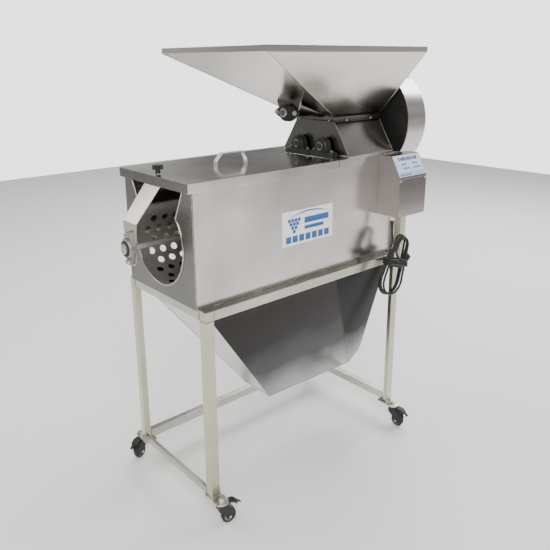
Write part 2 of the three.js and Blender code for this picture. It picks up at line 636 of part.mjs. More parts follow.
// One belt round the beater, roller and feed pulleys.
function buildBelt() {
  const pulleys = [[MID_Y, AXIS_Z, 26], [MID_Y - ROLLER_HALF, ROLLER_Z, 62], [MID_Y, FEED_Z, 42]];
  const loop = (grow, x0, x1) => pulleys.flatMap(([y, z, r]) => Array.from({ length: 28 },
    (unused, i) => {
      const angle = (i / 28) * 2 * Math.PI;
      const reach = r + grow;
      return [x0, x1].map((x) => [x, y + reach * Math.cos(angle), z + reach * Math.sin(angle)]);
    }).flat());
  place('drive_belt', cut(
    hull(...loop(8, BELT_X0, BELT_X1)), hull(...loop(1, BELT_X0 - 5, BELT_X1 + 5))), RUBBER);
}

// Worm gearmotor on the end plate: gearbox round the beater's shaft, motor along +Y.
function buildGearmotor() {
  const x0 = BODY_X1 + 4 + GAP;
  const x1 = BELT_X0 - 14;
  const midX = x0 + 62;
  const motorY = MID_Y + 62;
  const fins = Array.from({ length: 6 }, (unused, i) => rod('y', motorY + 20 + i * 16,
    motorY + 26 + i * 16, midX, AXIS_Z, 60, 24));
  const body = join(
    block(x0, x1, MID_Y - 55, MID_Y + 55, AXIS_Z - 62, AXIS_Z + 62),
    rod('y', MID_Y + 50, motorY + 10, midX, AXIS_Z, 30, 24),
    rod('y', motorY, motorY + 130, midX, AXIS_Z, 55, 24),
    rod('y', motorY + 124, motorY + 160, midX, AXIS_Z, 61, 24),
    block(midX - 35, midX + 35, motorY + 20, motorY + 100, AXIS_Z + 40, AXIS_Z + 78), ...fins);
  place('gearmotor', cut(body, rod('x', x0 - 5, x1 + 5, MID_Y, AXIS_Z, SHAFT_R + 1, 16)),
    [0x4a5560, 0.5, 0.4]);
}

// ---------------------------------------------------------------- electrics
function controlBoxOutline(t) {
  const back = LID_Y0 - GAP;
  const slopeT = t * 0.4;
  return outline([back + (t ? 5 : 0), 955 + t], [back + (t ? 5 : 0), 1192 - t], [-30 - slopeT, 1192 - t],
    [BOX_Y0 + t, 1110 - slopeT], [BOX_Y0 + t, 955 + t]);
}

function buildControlBox() {
  const shell = cut(slabX(controlBoxOutline(0), BOX_X0, BOX_X1),
    slabX(controlBoxOutline(2), BOX_X0 + 2, BOX_X1 - 2));
  const pads = block(BOX_X0, BOX_X0 + 60, LID_Y0 - GAP - 2, BODY_Y0 - GAP, 975, 1140);
  const opening = block(BOX_X0 + 6, BOX_X0 + 54, 20, 40, 981, 1134);
  const entry = rod('z', 950, 962, GLAND.x, GLAND.y, 8, 16);
  place('control_box', cut(join(shell, pads), opening, entry), [0x8f8983, 0.4, 0.9]);
  place('switch_knob', join(
    rod('x', BOX_X1 + GAP, BOX_X1 + 12, -20, 1050, 15, 20),
    block(BOX_X1 + 10, BOX_X1 + 20, -24, -16, 1036, 1064)), [0xa01818, 0.45, 0]);
}

function buildGland() {
  const top = 955 - GAP;
  place('cable_gland', join(
    rod('z', top - 8, top, GLAND.x, GLAND.y, 13, 6),
    rod('z', GLAND.z, top - 7, GLAND.x, GLAND.y, 9, 16, 11)), [0xd9d7d2, 0.5, 0]);
}

// The cord from the gland's lower face down to the tied hank.
const HANK_TOP = 872;
const HANK = { x: 884, y: -52, thick: 40 };

function buildCord() {
  const path = new THREE.CatmullRomCurve3([
    new THREE.Vector3(GLAND.x, GLAND.y, GLAND.z + 2),
    new THREE.Vector3(GLAND.x, GLAND.y, GLAND.z - 10),
    new THREE.Vector3(GLAND.x + 1, HANK.y + 9, 905),
    new THREE.Vector3(GLAND.x + 2, HANK.y + 2, HANK_TOP - 2),
  ]);
  const section = new THREE.Shape();
  section.absarc(0, 0, CORD_D / 2, 0, 2 * Math.PI, false);
  const geometry = new THREE.ExtrudeGeometry(section, {
    steps: 8, curveSegments: 10, extrudePath: path, bevelEnabled: false,
  });
  const solid = toSolid(geometry);
  const between = block(800, 1000, -120, 40, HANK_TOP + GAP, GLAND.z - GAP);
  place('power_cord', solid.intersect(between), RUBBER);
}

// Outer shape of the tied hank: loops spread at both ends and drawn in at the wraps.
function buildHank() {
  const { x, y, thick } = HANK;
  const body = outline(
    [x - 4, HANK_TOP], [x + 56, HANK_TOP], [x + 72, 860], [x + 74, 836], [x + 67, 800], [x + 67, 745],
    [x + 55, 716], [x + 48, 676], [x + 34, 645], [x + 6, 628], [x - 36, 629], [x - 66, 646],
    [x - 81, 676], [x - 76, 708], [x - 59, 740], [x - 64, 772], [x - 56, 804], [x - 24, 822],
    [x - 14, 850]);
  place('cord_hank', slabY(body, y - thick / 2, y + thick / 2), RUBBER);
}

// Mains plug tucked against the hank.
function buildPlug() {
  const x = HANK.x + 67 + GAP;
  const z = 771;
  place('plug', join(
    rod('x', x, x + 8, HANK.y, z, 7, 12, 9),
    rod('x', x + 6, x + 24, HANK.y, z, 15, 16, 17),
    rod('x', x + 22, x + 41, HANK.y - 9.5, z, 2.4, 8),
    rod('x', x + 22, x + 41, HANK.y + 9.5, z, 2.4, 8)), BLACK_PLASTIC);
}

function buildFrontLabel() {
  place('front_label', block(359, 613, BODY_Y0 - GAP - 1.5, BODY_Y0 - GAP, 914, 1040),
    [0xe9e6df, 0.5, 0]);
}

// ---------------------------------------------------------------- assembly
buildLegs();
buildRails();
buildBraces();
buildCasters();
buildWalls();
buildOutletPlate();
buildDrivePlateEnd();
buildJuiceChute();
buildLid();
buildDeck();
buildLidHandle();
buildLidKnob();
buildScreen();
buildBearingStrap();
buildOutletBearing();
buildBeater();
buildRollerHousing();
buildRollers();
buildHopper();
buildFeedShaft();
buildGuardPlate();
buildGuard();
buildBelt();
buildGearmotor();
buildControlBox();
buildGland();
buildCord();
buildHank();
buildPlug();
buildFrontLabel();

// Bring the origin under the middle of the machine's box, on the floor.
const CORD_PARTS = ['power_cord', 'cord_hank', 'plug'];
const bounds = new THREE.Box3();
for (const mesh of machine.children) {
  if (!CORD_PARTS.includes(mesh.name)) bounds.expandByObject(mesh);
}
const centre = bounds.getCenter(new THREE.Vector3());
machine.position.set(-centre.x, -centre.y, -bounds.min.z);

export default machine;
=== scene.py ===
"""Looks of the grape crusher destemmer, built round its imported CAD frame."""

import json
import math

import bmesh
import bpy
from mathutils import Matrix, Vector


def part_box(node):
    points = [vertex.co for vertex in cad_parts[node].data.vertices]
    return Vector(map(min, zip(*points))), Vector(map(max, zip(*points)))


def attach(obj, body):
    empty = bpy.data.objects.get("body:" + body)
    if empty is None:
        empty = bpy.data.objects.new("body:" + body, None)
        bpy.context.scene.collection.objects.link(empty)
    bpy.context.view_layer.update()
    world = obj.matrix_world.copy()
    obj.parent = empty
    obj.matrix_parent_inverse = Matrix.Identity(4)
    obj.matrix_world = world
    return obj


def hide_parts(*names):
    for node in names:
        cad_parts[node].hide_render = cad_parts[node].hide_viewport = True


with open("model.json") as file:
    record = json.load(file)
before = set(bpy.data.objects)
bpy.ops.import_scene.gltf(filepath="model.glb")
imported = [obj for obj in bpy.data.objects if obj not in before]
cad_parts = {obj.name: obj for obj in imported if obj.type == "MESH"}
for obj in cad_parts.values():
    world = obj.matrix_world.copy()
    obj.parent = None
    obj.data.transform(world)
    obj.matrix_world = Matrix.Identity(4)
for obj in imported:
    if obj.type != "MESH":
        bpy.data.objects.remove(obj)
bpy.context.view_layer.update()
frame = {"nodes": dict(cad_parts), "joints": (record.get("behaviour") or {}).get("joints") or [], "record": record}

# ---- layout
# The pieces are laid out in millimetres from the outer foot corner of the front left leg, with
# Z = 743 at the underside of the top rails. ORIGIN is that corner in the row frame.
RAIL_UNDERSIDE = 743
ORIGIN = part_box("rail_front")[0] - Vector((0, 0, RAIL_UNDERSIDE / 1000))
MID_Y = 243
AXIS_Z = 966
FEED_Z = 1360
LID_TOP = 1195
HOUSE_TOP = 1320
SHARP = math.radians(34)


def at(x, y, z):
    return ORIGIN + Vector((x, y, z)) / 1000


def layout_box(node):
    """Lowest and highest corner of a CAD node in layout millimetres."""
    low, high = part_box(node)
    return (low - ORIGIN) * 1000, (high - ORIGIN) * 1000


# ---- camera
EYE = (-1020.28, -1501.17, 1549.64)
YAW, PITCH, ROLL = (math.radians(v) for v in (40.63, 16.26, -0.47))
LENS_MM = 40.08
SHIFT = (0.0122, -0.0653)


def make_camera():
    data = bpy.data.cameras.new("camera")
    camera = bpy.data.objects.new("camera", data)
    bpy.context.scene.collection.objects.link(camera)
    forward = Vector((math.sin(YAW) * math.cos(PITCH), math.cos(YAW) * math.cos(PITCH),
                      -math.sin(PITCH)))
    level = Vector((math.cos(YAW), -math.sin(YAW), 0))
    upright = level.cross(forward)
    right = level * math.cos(ROLL) + upright * math.sin(ROLL)
    up = upright * math.cos(ROLL) - level * math.sin(ROLL)
    basis = Matrix((right, up, -forward)).transposed()
    camera.matrix_world = Matrix.Translation(at(*EYE)) @ basis.to_4x4()
    data.sensor_width = 36
    data.lens = LENS_MM
    data.shift_x, data.shift_y = SHIFT
    data.clip_end = 50
    bpy.context.scene.camera = camera


# ---- materials
def put(tree, kind, values, **settings):
    """Shader node with its inputs set, or linked where the value is another node's output."""
    node = tree.nodes.new(f"ShaderNode{kind}")
    for name, value in settings.items():
        setattr(node, name, value)
    for key, value in values.items():
        if isinstance(value, bpy.types.NodeSocket):
            tree.links.new(value, node.inputs[key])
        else:
            node.inputs[key].default_value = value
    return node


def color_ramp(tree, value, stops):
    """Colour output of a ramp over value, from (place, colour) stops."""
    node = put(tree, "ValToRGB", {"Fac": value})
    elements = node.color_ramp.elements
    for element, (place, color) in zip(elements, (stops[0], stops[-1])):
        element.position = place
        element.color = (*color, 1)
    for place, color in stops[1:-1]:
        elements.new(place).color = (*color, 1)
    return node.outputs["Color"]


def map_range(tree, value, source, target):
    values = {"Value": value, "From Min": source[0], "From Max": source[1],
              "To Min": target[0], "To Max": target[1]}
    return put(tree, "MapRange", values).outputs["Result"]


class Nodes:
    """A material's node tree with its shader, and short ways to add to it."""

    def __init__(self, name, color, roughness, metallic=0.0):
        self.material = bpy.data.materials.new(name)
        self.material.use_nodes = True
        self.tree = self.material.node_tree
        self.inputs = self.tree.nodes["Principled BSDF"].inputs
        self.inputs["Base Color"].default_value = (*color, 1)
        self.inputs["Roughness"].default_value = roughness
        self.inputs["Metallic"].default_value = metallic
        self.coords = put(self.tree, "TexCoord", {}).outputs

    def feed(self, name, value):
        self.tree.links.new(value, self.inputs[name])

    def noise(self, scale, stretch=(1, 1, 1), detail=4.0):
        mapping = put(self.tree, "Mapping", {"Scale": stretch, "Vector": self.coords["Object"]})
        values = {"Scale": scale, "Detail": detail, "Roughness": 0.55,
                  "Vector": mapping.outputs["Vector"]}
        return put(self.tree, "TexNoise", values).outputs["Fac"]

    def uneven_height(self, amount):
        """Height within the object, 0 at the foot and 1 at the top, with a slow noise added."""
        split = put(self.tree, "SeparateXYZ", {0: self.coords["Generated"]})
        wander = self.spread(self.noise(5, detail=2.0), -amount, amount)
        return put(self.tree, "Math", {0: split.outputs["Z"], 1: wander}).outputs[0]

    def spread(self, value, low, high):
        return map_range(self.tree, value, (0.3, 0.7), (low, high))

    def colors(self, value, stops):
        self.feed("Base Color", color_ramp(self.tree, value, stops))

    def rough(self, value, low, high):
        self.feed("Roughness", self.spread(value, low, high))

    def bump(self, value, strength, distance, below=None):
        """Bump from value, laid over the bump below if there is one."""
        values = {"Strength": strength, "Distance": distance, "Height": value}
        if below:
            values["Normal"] = below
        normal = put(self.tree, "Bump", values).outputs["Normal"]
        self.feed("Normal", normal)
        return normal

    def grained(self, roughness, spread, stretch, grain, depth):
        """Fine grain in gloss and relief over the slow waviness of thin sheet."""
        fine = self.noise(1.0, stretch, detail=5.0)
        self.rough(fine, roughness - spread[0], roughness + spread[1])
        wave = self.bump(self.noise(3.4, detail=1.0), 0.35, 0.0016)
        self.bump(fine, grain, depth, wave)
        return self.material


def tinted(color, factor):
    return tuple(min(1.0, channel * factor) for channel in color)


def steel(name, color, roughness, stretch, grain, smudge):
    """Sheet steel with smudges and a fine grain, drawn out where stretch is low."""
    nodes = Nodes(name, color, roughness, 1.0)
    nodes.colors(nodes.noise(2.6, detail=3.0),
                 [(0.32, tinted(color, 1 - smudge)), (0.55, color),
                  (0.72, tinted(color, 1 + smudge))])
    return nodes.grained(roughness, (0.025, 0.03), stretch, grain, 0.0002)


def shaded_steel(name, stops, roughness, stretch):
    """Steel coloured by height with a slow noise on the height; stops go from the foot to the top."""
    nodes = Nodes(name, stops[0][1], roughness, 1.0)
    nodes.colors(nodes.uneven_height(0.05), stops)
    return nodes.grained(roughness, (0.04, 0.06), stretch, 0.02, 0.0004)


def painted(name, color, roughness, grit=260, depth=0.0002):
    nodes = Nodes(name, color, roughness)
    cloud = nodes.noise(28, detail=5.0)
    nodes.colors(cloud, [(0.3, tinted(color, 0.78)), (0.55, color), (0.75, tinted(color, 1.3))])
    nodes.rough(cloud, roughness - 0.08, roughness + 0.12)
    nodes.bump(nodes.noise(grit, detail=3.0), 0.35, depth)
    return nodes.material


def cast_metal(name, color, roughness, metallic):
    nodes = Nodes(name, color, roughness, metallic)
    cloud = nodes.noise(60, detail=6.0)
    nodes.colors(cloud, [(0.3, tinted(color, 0.6)), (0.52, color), (0.72, tinted(color, 1.5))])
    nodes.rough(cloud, roughness - 0.1, roughness + 0.15)
    nodes.bump(nodes.noise(420, detail=4.0), 0.6, 0.0005)
    return nodes.material


def plastic_film(name, color, roughness):
    nodes = Nodes(name, color, roughness)
    cloud = nodes.noise(9, detail=4.0)
    nodes.colors(cloud, [(0.3, tinted(color, 0.96)), (0.7, tinted(color, 1.03))])
    nodes.rough(cloud, roughness, roughness + 0.12)
    nodes.bump(nodes.noise(14, detail=2.0), 0.25, 0.0006)
    nodes.inputs["Coat Weight"].default_value = 0.25
    nodes.inputs["Coat Roughness"].default_value = 0.12
    return nodes.material


SHEET = steel("sheet_steel", (0.50, 0.485, 0.455), 0.20, (14, 14, 900), 0.025, 0.05)
WALL = steel("wall_steel", (0.66, 0.625, 0.61), 0.22, (9, 9, 900), 0.015, 0.26)
# Darkened steel for faces turned to -X: painted shade.
END_SHADE_STEEL = steel("end_painted_shade_steel", (0.19, 0.187, 0.172), 0.26, (900, 9, 9), 0.02, 0.16)
LID_STEEL = steel("lid_steel", (0.66, 0.65, 0.63), 0.13, (12, 900, 12), 0.012, 0.40)
# The hopper's stops make it darker towards the neck.
HOPPER = shaded_steel("hopper_steel", [(0.0, (0.16, 0.155, 0.145)), (0.14, (0.22, 0.215, 0.20)),
                                       (0.34, (0.52, 0.50, 0.46)), (0.6, (0.66, 0.63, 0.58)),
                                       (1.0, (0.68, 0.65, 0.60))], 0.20, (10, 10, 900))
# The chute's stops are painted shade and reflection: dark along the top under the body, light towards the mouth.
CHUTE = shaded_steel("chute_steel", [(0.0, (0.44, 0.44, 0.45)), (0.10, (0.36, 0.36, 0.37)),
                                     (0.30, (0.10, 0.10, 0.102)), (0.55, (0.045, 0.044, 0.044)),
                                     (0.85, (0.04, 0.038, 0.037)), (1.0, (0.05, 0.048, 0.045))],
                     0.22, (700, 700, 9))
# Copy of the chute steel painted as lit, for the outlet end band.
CHUTE_PAINTED_LIGHT = steel("chute_painted_light_steel", (0.62, 0.62, 0.58), 0.26, (700, 700, 9), 0.02, 0.12)
# Copy of the chute steel painted as shade, for the facets past the crease and the drive end.
CHUTE_PAINTED_SHADE = shaded_steel("chute_painted_shade_steel",
                          [(0.0, (0.40, 0.40, 0.41)), (0.16, (0.26, 0.26, 0.27)),
                           (0.34, (0.03, 0.03, 0.032)), (1.0, (0.018, 0.018, 0.019))],
                          0.24, (700, 700, 9))
# The housing's dark base colour stands in for the dark reflection on its front: painted reflection.
HOUSING = steel("housing_painted_reflection_steel", (0.17, 0.165, 0.155), 0.24, (9, 9, 900), 0.02, 0.18)
TUBE = steel("tube_steel", (0.60, 0.585, 0.46), 0.30, (700, 700, 9), 0.04, 0.14)
RAIL = steel("rail_steel", (0.55, 0.535, 0.475), 0.28, (9, 9, 900), 0.015, 0.14)
GUARD = steel("guard_steel", (0.60, 0.57, 0.555), 0.20, (900, 9, 9), 0.06, 0.04)
BOX = steel("box_steel", (0.42, 0.385, 0.375), 0.24, (12, 12, 900), 0.02, 0.05)
BRIGHT = steel("bright_steel", (0.74, 0.73, 0.70), 0.22, (160, 160, 160), 0.05, 0.10)
SCREEN = steel("screen_steel", (0.72, 0.70, 0.66), 0.42, (500, 12, 12), 0.04, 0.14)
HANDLE = steel("handle_steel", (0.82, 0.81, 0.79), 0.36, (200, 200, 200), 0.03, 0.05)
RING = steel("bearing_ring_steel", (0.22, 0.215, 0.21), 0.38, (200, 200, 200), 0.03, 0.15)
# The trough's dark base colour is painted shade.
TROUGH = steel("trough_painted_shade_steel", (0.16, 0.155, 0.14), 0.24, (9, 9, 700), 0.03, 0.2)
WELD = cast_metal("weld_bead", (0.42, 0.40, 0.36), 0.36, 1.0)
ZINC = cast_metal("zinc_plate", (0.62, 0.61, 0.56), 0.34, 1.0)
DARK_CAST = cast_metal("dark_casting", (0.035, 0.034, 0.03), 0.50, 0.35)
LIGHT_CAST = cast_metal("light_casting", (0.33, 0.32, 0.30), 0.48, 0.75)
BLACK = painted("black_plastic", (0.016, 0.016, 0.015), 0.42)
# Black paint; on the guard plate it is painted shade.
BLACK_PAINT_AND_SHADE = painted("black_paint", (0.012, 0.012, 0.012), 0.5, 180)
RUBBER = painted("cord_rubber", (0.013, 0.013, 0.014), 0.5, 500, 0.00015)
TREAD = painted("wheel_tread", (0.022, 0.021, 0.02), 0.62, 300, 0.0003)
HUB = painted("wheel_hub", (0.34, 0.34, 0.33), 0.4, 200)
ROLLER = painted("roller_rubber", (0.03, 0.03, 0.028), 0.6, 240, 0.0004)
MOTOR = painted("motor_paint", (0.09, 0.12, 0.16), 0.38, 120, 0.0003)
WHITE_PLASTIC = painted("white_plastic", (0.72, 0.71, 0.67), 0.4)
RED = painted("red_plastic", (0.42, 0.02, 0.018), 0.3)
FILM = plastic_film("label_film", (0.95, 0.95, 0.98), 0.32)
BLUE = plastic_film("label_blue", (0.008, 0.10, 0.38), 0.32)
PLATE_FILM = plastic_film("data_plate", (0.60, 0.67, 0.98), 0.34)
INK = plastic_film("data_plate_ink", (0.006, 0.008, 0.03), 0.4)


# ---- shapes
def around(a, b, radius, angle):
    """Point on a circle round (a, b)."""
    return a + radius * math.cos(angle), b + radius * math.sin(angle)


AXES = {"x": (1, 2, 0), "y": (0, 2, 1), "z": (0, 1, 2)}


class Build:
    """Collects shapes in layout millimetres, then becomes one piece."""

    def __init__(self, place=None):
        self.mesh = bmesh.new()
        self.place = place or Matrix.Identity(4)
        self.paint = 0

    def add(self, points, faces, paints=()):
        verts = [self.mesh.verts.new(self.place @ Vector(p)) for p in points]
        for number, face in enumerate(faces):
            made = self.mesh.faces.new([verts[i] for i in face])
            made.material_index = paints[number] if paints else self.paint
        return self

    def color(self, index):
        self.paint = index
        return self

    def box(self, x0, x1, y0, y1, z0, z1):
        points = [(x, y, z) for z in (z0, z1) for y in (y0, y1) for x in (x0, x1)]
        return self.add(points, [(0, 2, 3, 1), (4, 5, 7, 6), (0, 1, 5, 4), (2, 6, 7, 3),
                                 (0, 4, 6, 2), (1, 3, 7, 5)])

    def shell(self, rings, paints=()):
        """Surface through rings of points, with the last ring joined back to the first."""
        wide = len(rings[0])
        faces = []
        for row in range(len(rings)):
            near, far = wide * row, wide * ((row + 1) % len(rings))
            faces += [(near + i, near + (i + 1) % wide, far + (i + 1) % wide, far + i)
                      for i in range(wide)]
        return self.add([point for ring in rings for point in ring], faces, paints * len(rings))

    def prism(self, axis, outline, low, high):
        """outline's two coordinates are the ones that are not axis, in X, Y, Z order."""
        first, second, along = AXES[axis]
        points = []
        for value in (low, high):
            for a, b in outline:
                point = [0, 0, 0]
                point[first], point[second], point[along] = a, b, value
                points.append(point)
        count = len(outline)
        sides = [(i, (i + 1) % count, count + (i + 1) % count, count + i) for i in range(count)]
        ends = [tuple(range(count))[::-1], tuple(range(count, 2 * count))]
        return self.add(points, ends + sides)

    def lathe(self, axis, a, b, profile, sides=40, turn=0.0, base=0):
        """profile is (place beyond base, radius) pairs; a zero radius closes that end."""
        first, second, along = AXES[axis]
        points, rows = [], []
        for place, radius in profile:
            row = []
            for i in range(sides if radius > 0 else 1):
                angle = turn + 2 * math.pi * i / sides
                point = [0, 0, 0]
                point[first], point[second] = around(a, b, radius, angle)
                point[along] = base + place
                row.append(len(points))
                points.append(point)
            rows.append(row)
        closed = profile[0][1] > 0 and profile[-1][1] > 0
        pairs = list(zip(rows, rows[1:])) + ([(rows[-1], rows[0])] if closed else [])
        faces = []
        for low, high in pairs:
            for i in range(sides):
                j = (i + 1) % sides
                if len(low) == 1:
                    faces.append((low[0], high[i], high[j]))
                elif len(high) == 1:
                    faces.append((low[i], high[0], low[j]))
                else:
                    faces.append((low[i], high[i], high[j], low[j]))
        return self.add(points, faces)

    def rod(self, axis, low, high, a, b, radius, sides=40, ease=0.0):
        ease = min(ease, radius * 0.45, (high - low) * 0.45)
        if ease:
            profile = [(low, 0), (low, radius - ease), (low + ease * 0.3, radius - ease * 0.3),
                       (low + ease, radius), (high - ease, radius),
                       (high - ease * 0.3, radius - ease * 0.3), (high, radius - ease), (high, 0)]
        else:
            profile = [(low, 0), (low, radius), (high, radius), (high, 0)]
        return self.lathe(axis, a, b, profile, sides)

    def hexagon(self, axis, low, high, a, b, radius, turn=0.0):
        """Hexagonal head or nut, chamfered at its high end."""
        edge = 0.14 * radius
        tip = high - math.copysign(edge * 0.6, high - low)
        return self.lathe(axis, a, b, [(low, 0), (low, radius), (tip, radius),
                                       (high, radius - edge), (high, 0)], 6, turn)

    def bolt(self, axis, base, a, b, size, outward=1, stud=0.0):
        """Washer, hexagon head and, with stud, the thread end that stands out of it."""
        self.rod(axis, *sorted((base, base + outward * size * 0.16)), a, b, size, 28, 0.3)
        self.hexagon(axis, base + outward * size * 0.16, base + outward * size * 0.85, a, b,
                     size * 0.82, 0.3)
        if stud:
            self.rod(axis, *sorted((base + outward * size * 0.8, base + outward * stud)), a, b,
                     size * 0.42, 20, 0.6)
        return self

    def ring_strip(self, axis, a, b, low, high, outer, inner, sides=48):
        return self.lathe(axis, a, b, [(low, inner), (low, outer), (high, outer), (high, inner)],
                          sides)

    def pipe(self, points, radius, sides=10):
        """Round bar through points; radius may be one number or one for each point."""
        radii = radius if hasattr(radius, "__len__") else [radius] * len(points)
        path = [Vector(p) for p in points]
        ring_points, faces = [], []
        side = None
        for i, point in enumerate(path):
            ahead = path[min(i + 1, len(path) - 1)] - path[max(i - 1, 0)]
            ahead.normalize()
            if side is None:
                side = ahead.orthogonal().normalized()
            side = (side - ahead * side.dot(ahead)).normalized()
            up = ahead.cross(side)
            for k in range(sides):
                angle = 2 * math.pi * k / sides
                spoke = side * math.cos(angle) + up * math.sin(angle)
                ring_points.append(point + spoke * radii[i])
        for i in range(len(path) - 1):
            for k in range(sides):
                j = (k + 1) % sides
                low, high = i * sides, (i + 1) * sides
                faces.append((low + k, low + j, high + j, high + k))
        last = (len(path) - 1) * sides
        faces.append(tuple(range(sides))[::-1])
        faces.append(tuple(range(last, last + sides)))
        return self.add(ring_points, faces)

    def bead(self, start, end, radius=2.2, pitch=3.2):
        """Weld bead of overlapping ripples from start to end."""
        start, end = Vector(start), Vector(end)
        steps = max(3, int((end - start).length / pitch)) * 2
        points = [start.lerp(end, i / steps) for i in range(steps + 1)]
        radii = [radius * (0.82 if i % 2 else 1.05) for i in range(steps + 1)]
        radii[0] = radii[-1] = radius * 0.5
        return self.pipe(points, radii, 8)

    def piece(self, name, materials, body="frame", replaces=(), slot="stainless_sheet",
              bevel=0.0, steps=2):
        bmesh.ops.recalc_face_normals(self.mesh, faces=self.mesh.faces)
        self.mesh.transform(Matrix.Translation(ORIGIN) @ Matrix.Scale(0.001, 4))
        data = bpy.data.meshes.new(name)
        self.mesh.to_mesh(data)
        self.mesh.free()
        return dress(name, data, materials, body, replaces, slot, bevel, steps)


def sharpen(data):
    """Smooth shading, with the sharp edges kept."""
    mesh = bmesh.new()
    mesh.from_mesh(data)
    for face in mesh.faces:
        face.smooth = True
    for edge in mesh.edges:
        edge.smooth = len(edge.link_faces) == 2 and edge.calc_face_angle(0) < SHARP
    mesh.to_mesh(data)
    mesh.free()


def dress(name, data, materials, body, replaces, slot, bevel, steps):
    """Gives a mesh its finish, rounds its edges by bevel millimetres and rides it on its body."""
    for material in materials if isinstance(materials, (list, tuple)) else [materials]:
        data.materials.append(material)
    sharpen(data)
    piece = bpy.data.objects.new(name, data)
    bpy.context.scene.collection.objects.link(piece)
    if bevel:
        modifier = piece.modifiers.new("edges", "BEVEL")
        modifier.width = bevel / 1000
        modifier.segments = steps
        modifier.limit_method = "ANGLE"
        modifier.angle_limit = SHARP
        modifier.harden_normals = True
        modifier.use_clamp_overlap = True
    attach(piece, body)
    if replaces:
        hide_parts(*([replaces] if isinstance(replaces, str) else replaces))
    return piece


def body_of(node):
    groups = frame["record"]["behaviour"]["bodies"]
    return next(body for body, nodes in groups.items() if node in nodes)


def rounded(node, material, bevel, steps=2):
    """The CAD node's own shape with its edges rounded as folded or drawn metal is."""
    mesh = bmesh.new()
    mesh.from_mesh(frame["nodes"][node].data)
    bmesh.ops.remove_doubles(mesh, verts=mesh.verts, dist=1e-5)
    bmesh.ops.dissolve_limit(mesh, angle_limit=math.radians(0.6), verts=mesh.verts,
                             edges=mesh.edges)
    for face in mesh.faces:
        face.material_index = 0
    data = bpy.data.meshes.new(f"{node}_finished")
    mesh.to_mesh(data)
    mesh.free()
    data.materials.clear()
    slots = {s["node"]: s["material_slot"] for s in frame["record"]["subparts"]}
    return dress(f"{node}_finished", data, material, body_of(node), node, slots[node], bevel,
                 steps)


def hull_outline(circles, steps=40):
    """Outline round circles given as (a, b, radius), as a belt would lie."""
    points = sorted({tuple(round(v, 4) for v in around(a, b, r, 2 * math.pi * i / steps))
                     for a, b, r in circles for i in range(steps)})

    def turns_left(a, b, c):
        return (b[0] - a[0]) * (c[1] - a[1]) - (b[1] - a[1]) * (c[0] - a[0]) > 0

    def half(run):
        chain = []
        for p in run:
            while len(chain) > 1 and not turns_left(chain[-2], chain[-1], p):
                chain.pop()
            chain.append(p)
        return chain[:-1]

    return half(points) + half(points[::-1])


def smooth_path(points, step):
    """Catmull-Rom curve through points, in steps of about step millimetres."""
    path = [Vector(p) for p in points]
    ends = [path[0] * 2 - path[1], *path, path[-1] * 2 - path[-2]]
    out = []
    for a, b, c, d in zip(ends, ends[1:], ends[2:], ends[3:]):
        count = max(2, int((c - b).length / step))
        for i in range(count):
            t = i / count
            out.append(0.5 * (2 * b + (c - a) * t + (2 * a - 5 * b + 4 * c - d) * t * t
                              + (3 * b - a - 3 * c + d) * t ** 3))
    return out + [path[-1]]


# ---- cord
CORD_D = 9
GLAND = Vector((892, -32, 935))
CORD_END = Vector((940, -52, 771))
LEAD = [GLAND, GLAND - Vector((0, 0, 14)), Vector((890, -35, 900)), Vector((889, -38, 872))]
LOOP_TOP = (922, 835, 33)
LOOP_FOOT = (867, 690, 55)
WRAP_MIDDLE = Vector((893, -56, 768))
WRAP_STRAIGHT = 25
WRAP_R = 32
WRAP_LIFT = 18
WRAP_DROP = 10
WRAP_TILT = 0.30
LOOP_START = Vector((888, 0, 848))
LOOP_FRONT = -41
LOOP_LAY = 10.2
STEP = 5.0
TIGHTEST = 28.5


def loop_path(turns):
    """Upright loops of the hank, from the left of the top round the foot and up the right."""
    points = []
    for turn in range(turns):
        wide = 3 * math.sin(2.1 * turn)
        top = (LOOP_TOP[0] + wide, LOOP_TOP[1] + 4 * math.cos(1.7 * turn), LOOP_TOP[2])
        foot = (LOOP_FOOT[0] - wide, LOOP_FOOT[1] + 6 * math.sin(1.3 * turn), LOOP_FOOT[2])
        outline = [Vector((x, 0, z)) for x, z in hull_outline([top, foot], 60)]
        outline = evenly([*outline, outline[0]], 12)[:-1]
        start = min(range(len(outline)), key=lambda i: (outline[i] - LOOP_START).length)
        outline = outline[start:] + outline[:start]
        if outline[3].z > outline[0].z:
            outline = [outline[0], *outline[:0:-1]]
        for i, point in enumerate(outline):
            lay = LOOP_FRONT - LOOP_LAY * (turn + i / len(outline))
            points.append(point + Vector((0, lay, 0)))
    return points


def wrap_point(share):
    """Turns round the loops' waist: two straights joined by half circles, sloping down."""
    arc = math.pi * WRAP_R
    straight = 2 * WRAP_STRAIGHT
    run = (share % 1) * 2 * (arc + straight)
    if run < arc:
        turn = run / WRAP_R
        across, deep = -WRAP_STRAIGHT - WRAP_R * math.sin(turn), WRAP_R * math.cos(turn)
    elif run < arc + straight:
        across, deep = run - arc - WRAP_STRAIGHT, -WRAP_R
    elif run < 2 * arc + straight:
        turn = (run - arc - straight) / WRAP_R
        across, deep = WRAP_STRAIGHT + WRAP_R * math.sin(turn), -WRAP_R * math.cos(turn)
    else:
        across, deep = WRAP_STRAIGHT - (run - 2 * arc - straight), WRAP_R
    height = WRAP_LIFT - WRAP_DROP * share - WRAP_TILT * across
    return WRAP_MIDDLE + Vector((across, deep, height))


def hank_turns():
    """Centreline points of three upright loops, then of the turns round their waist."""
    wraps = [wrap_point(0.36 + i / 26) for i in range(80)]
    return loop_path(3) + [Vector((868, -76, 812))] + wraps


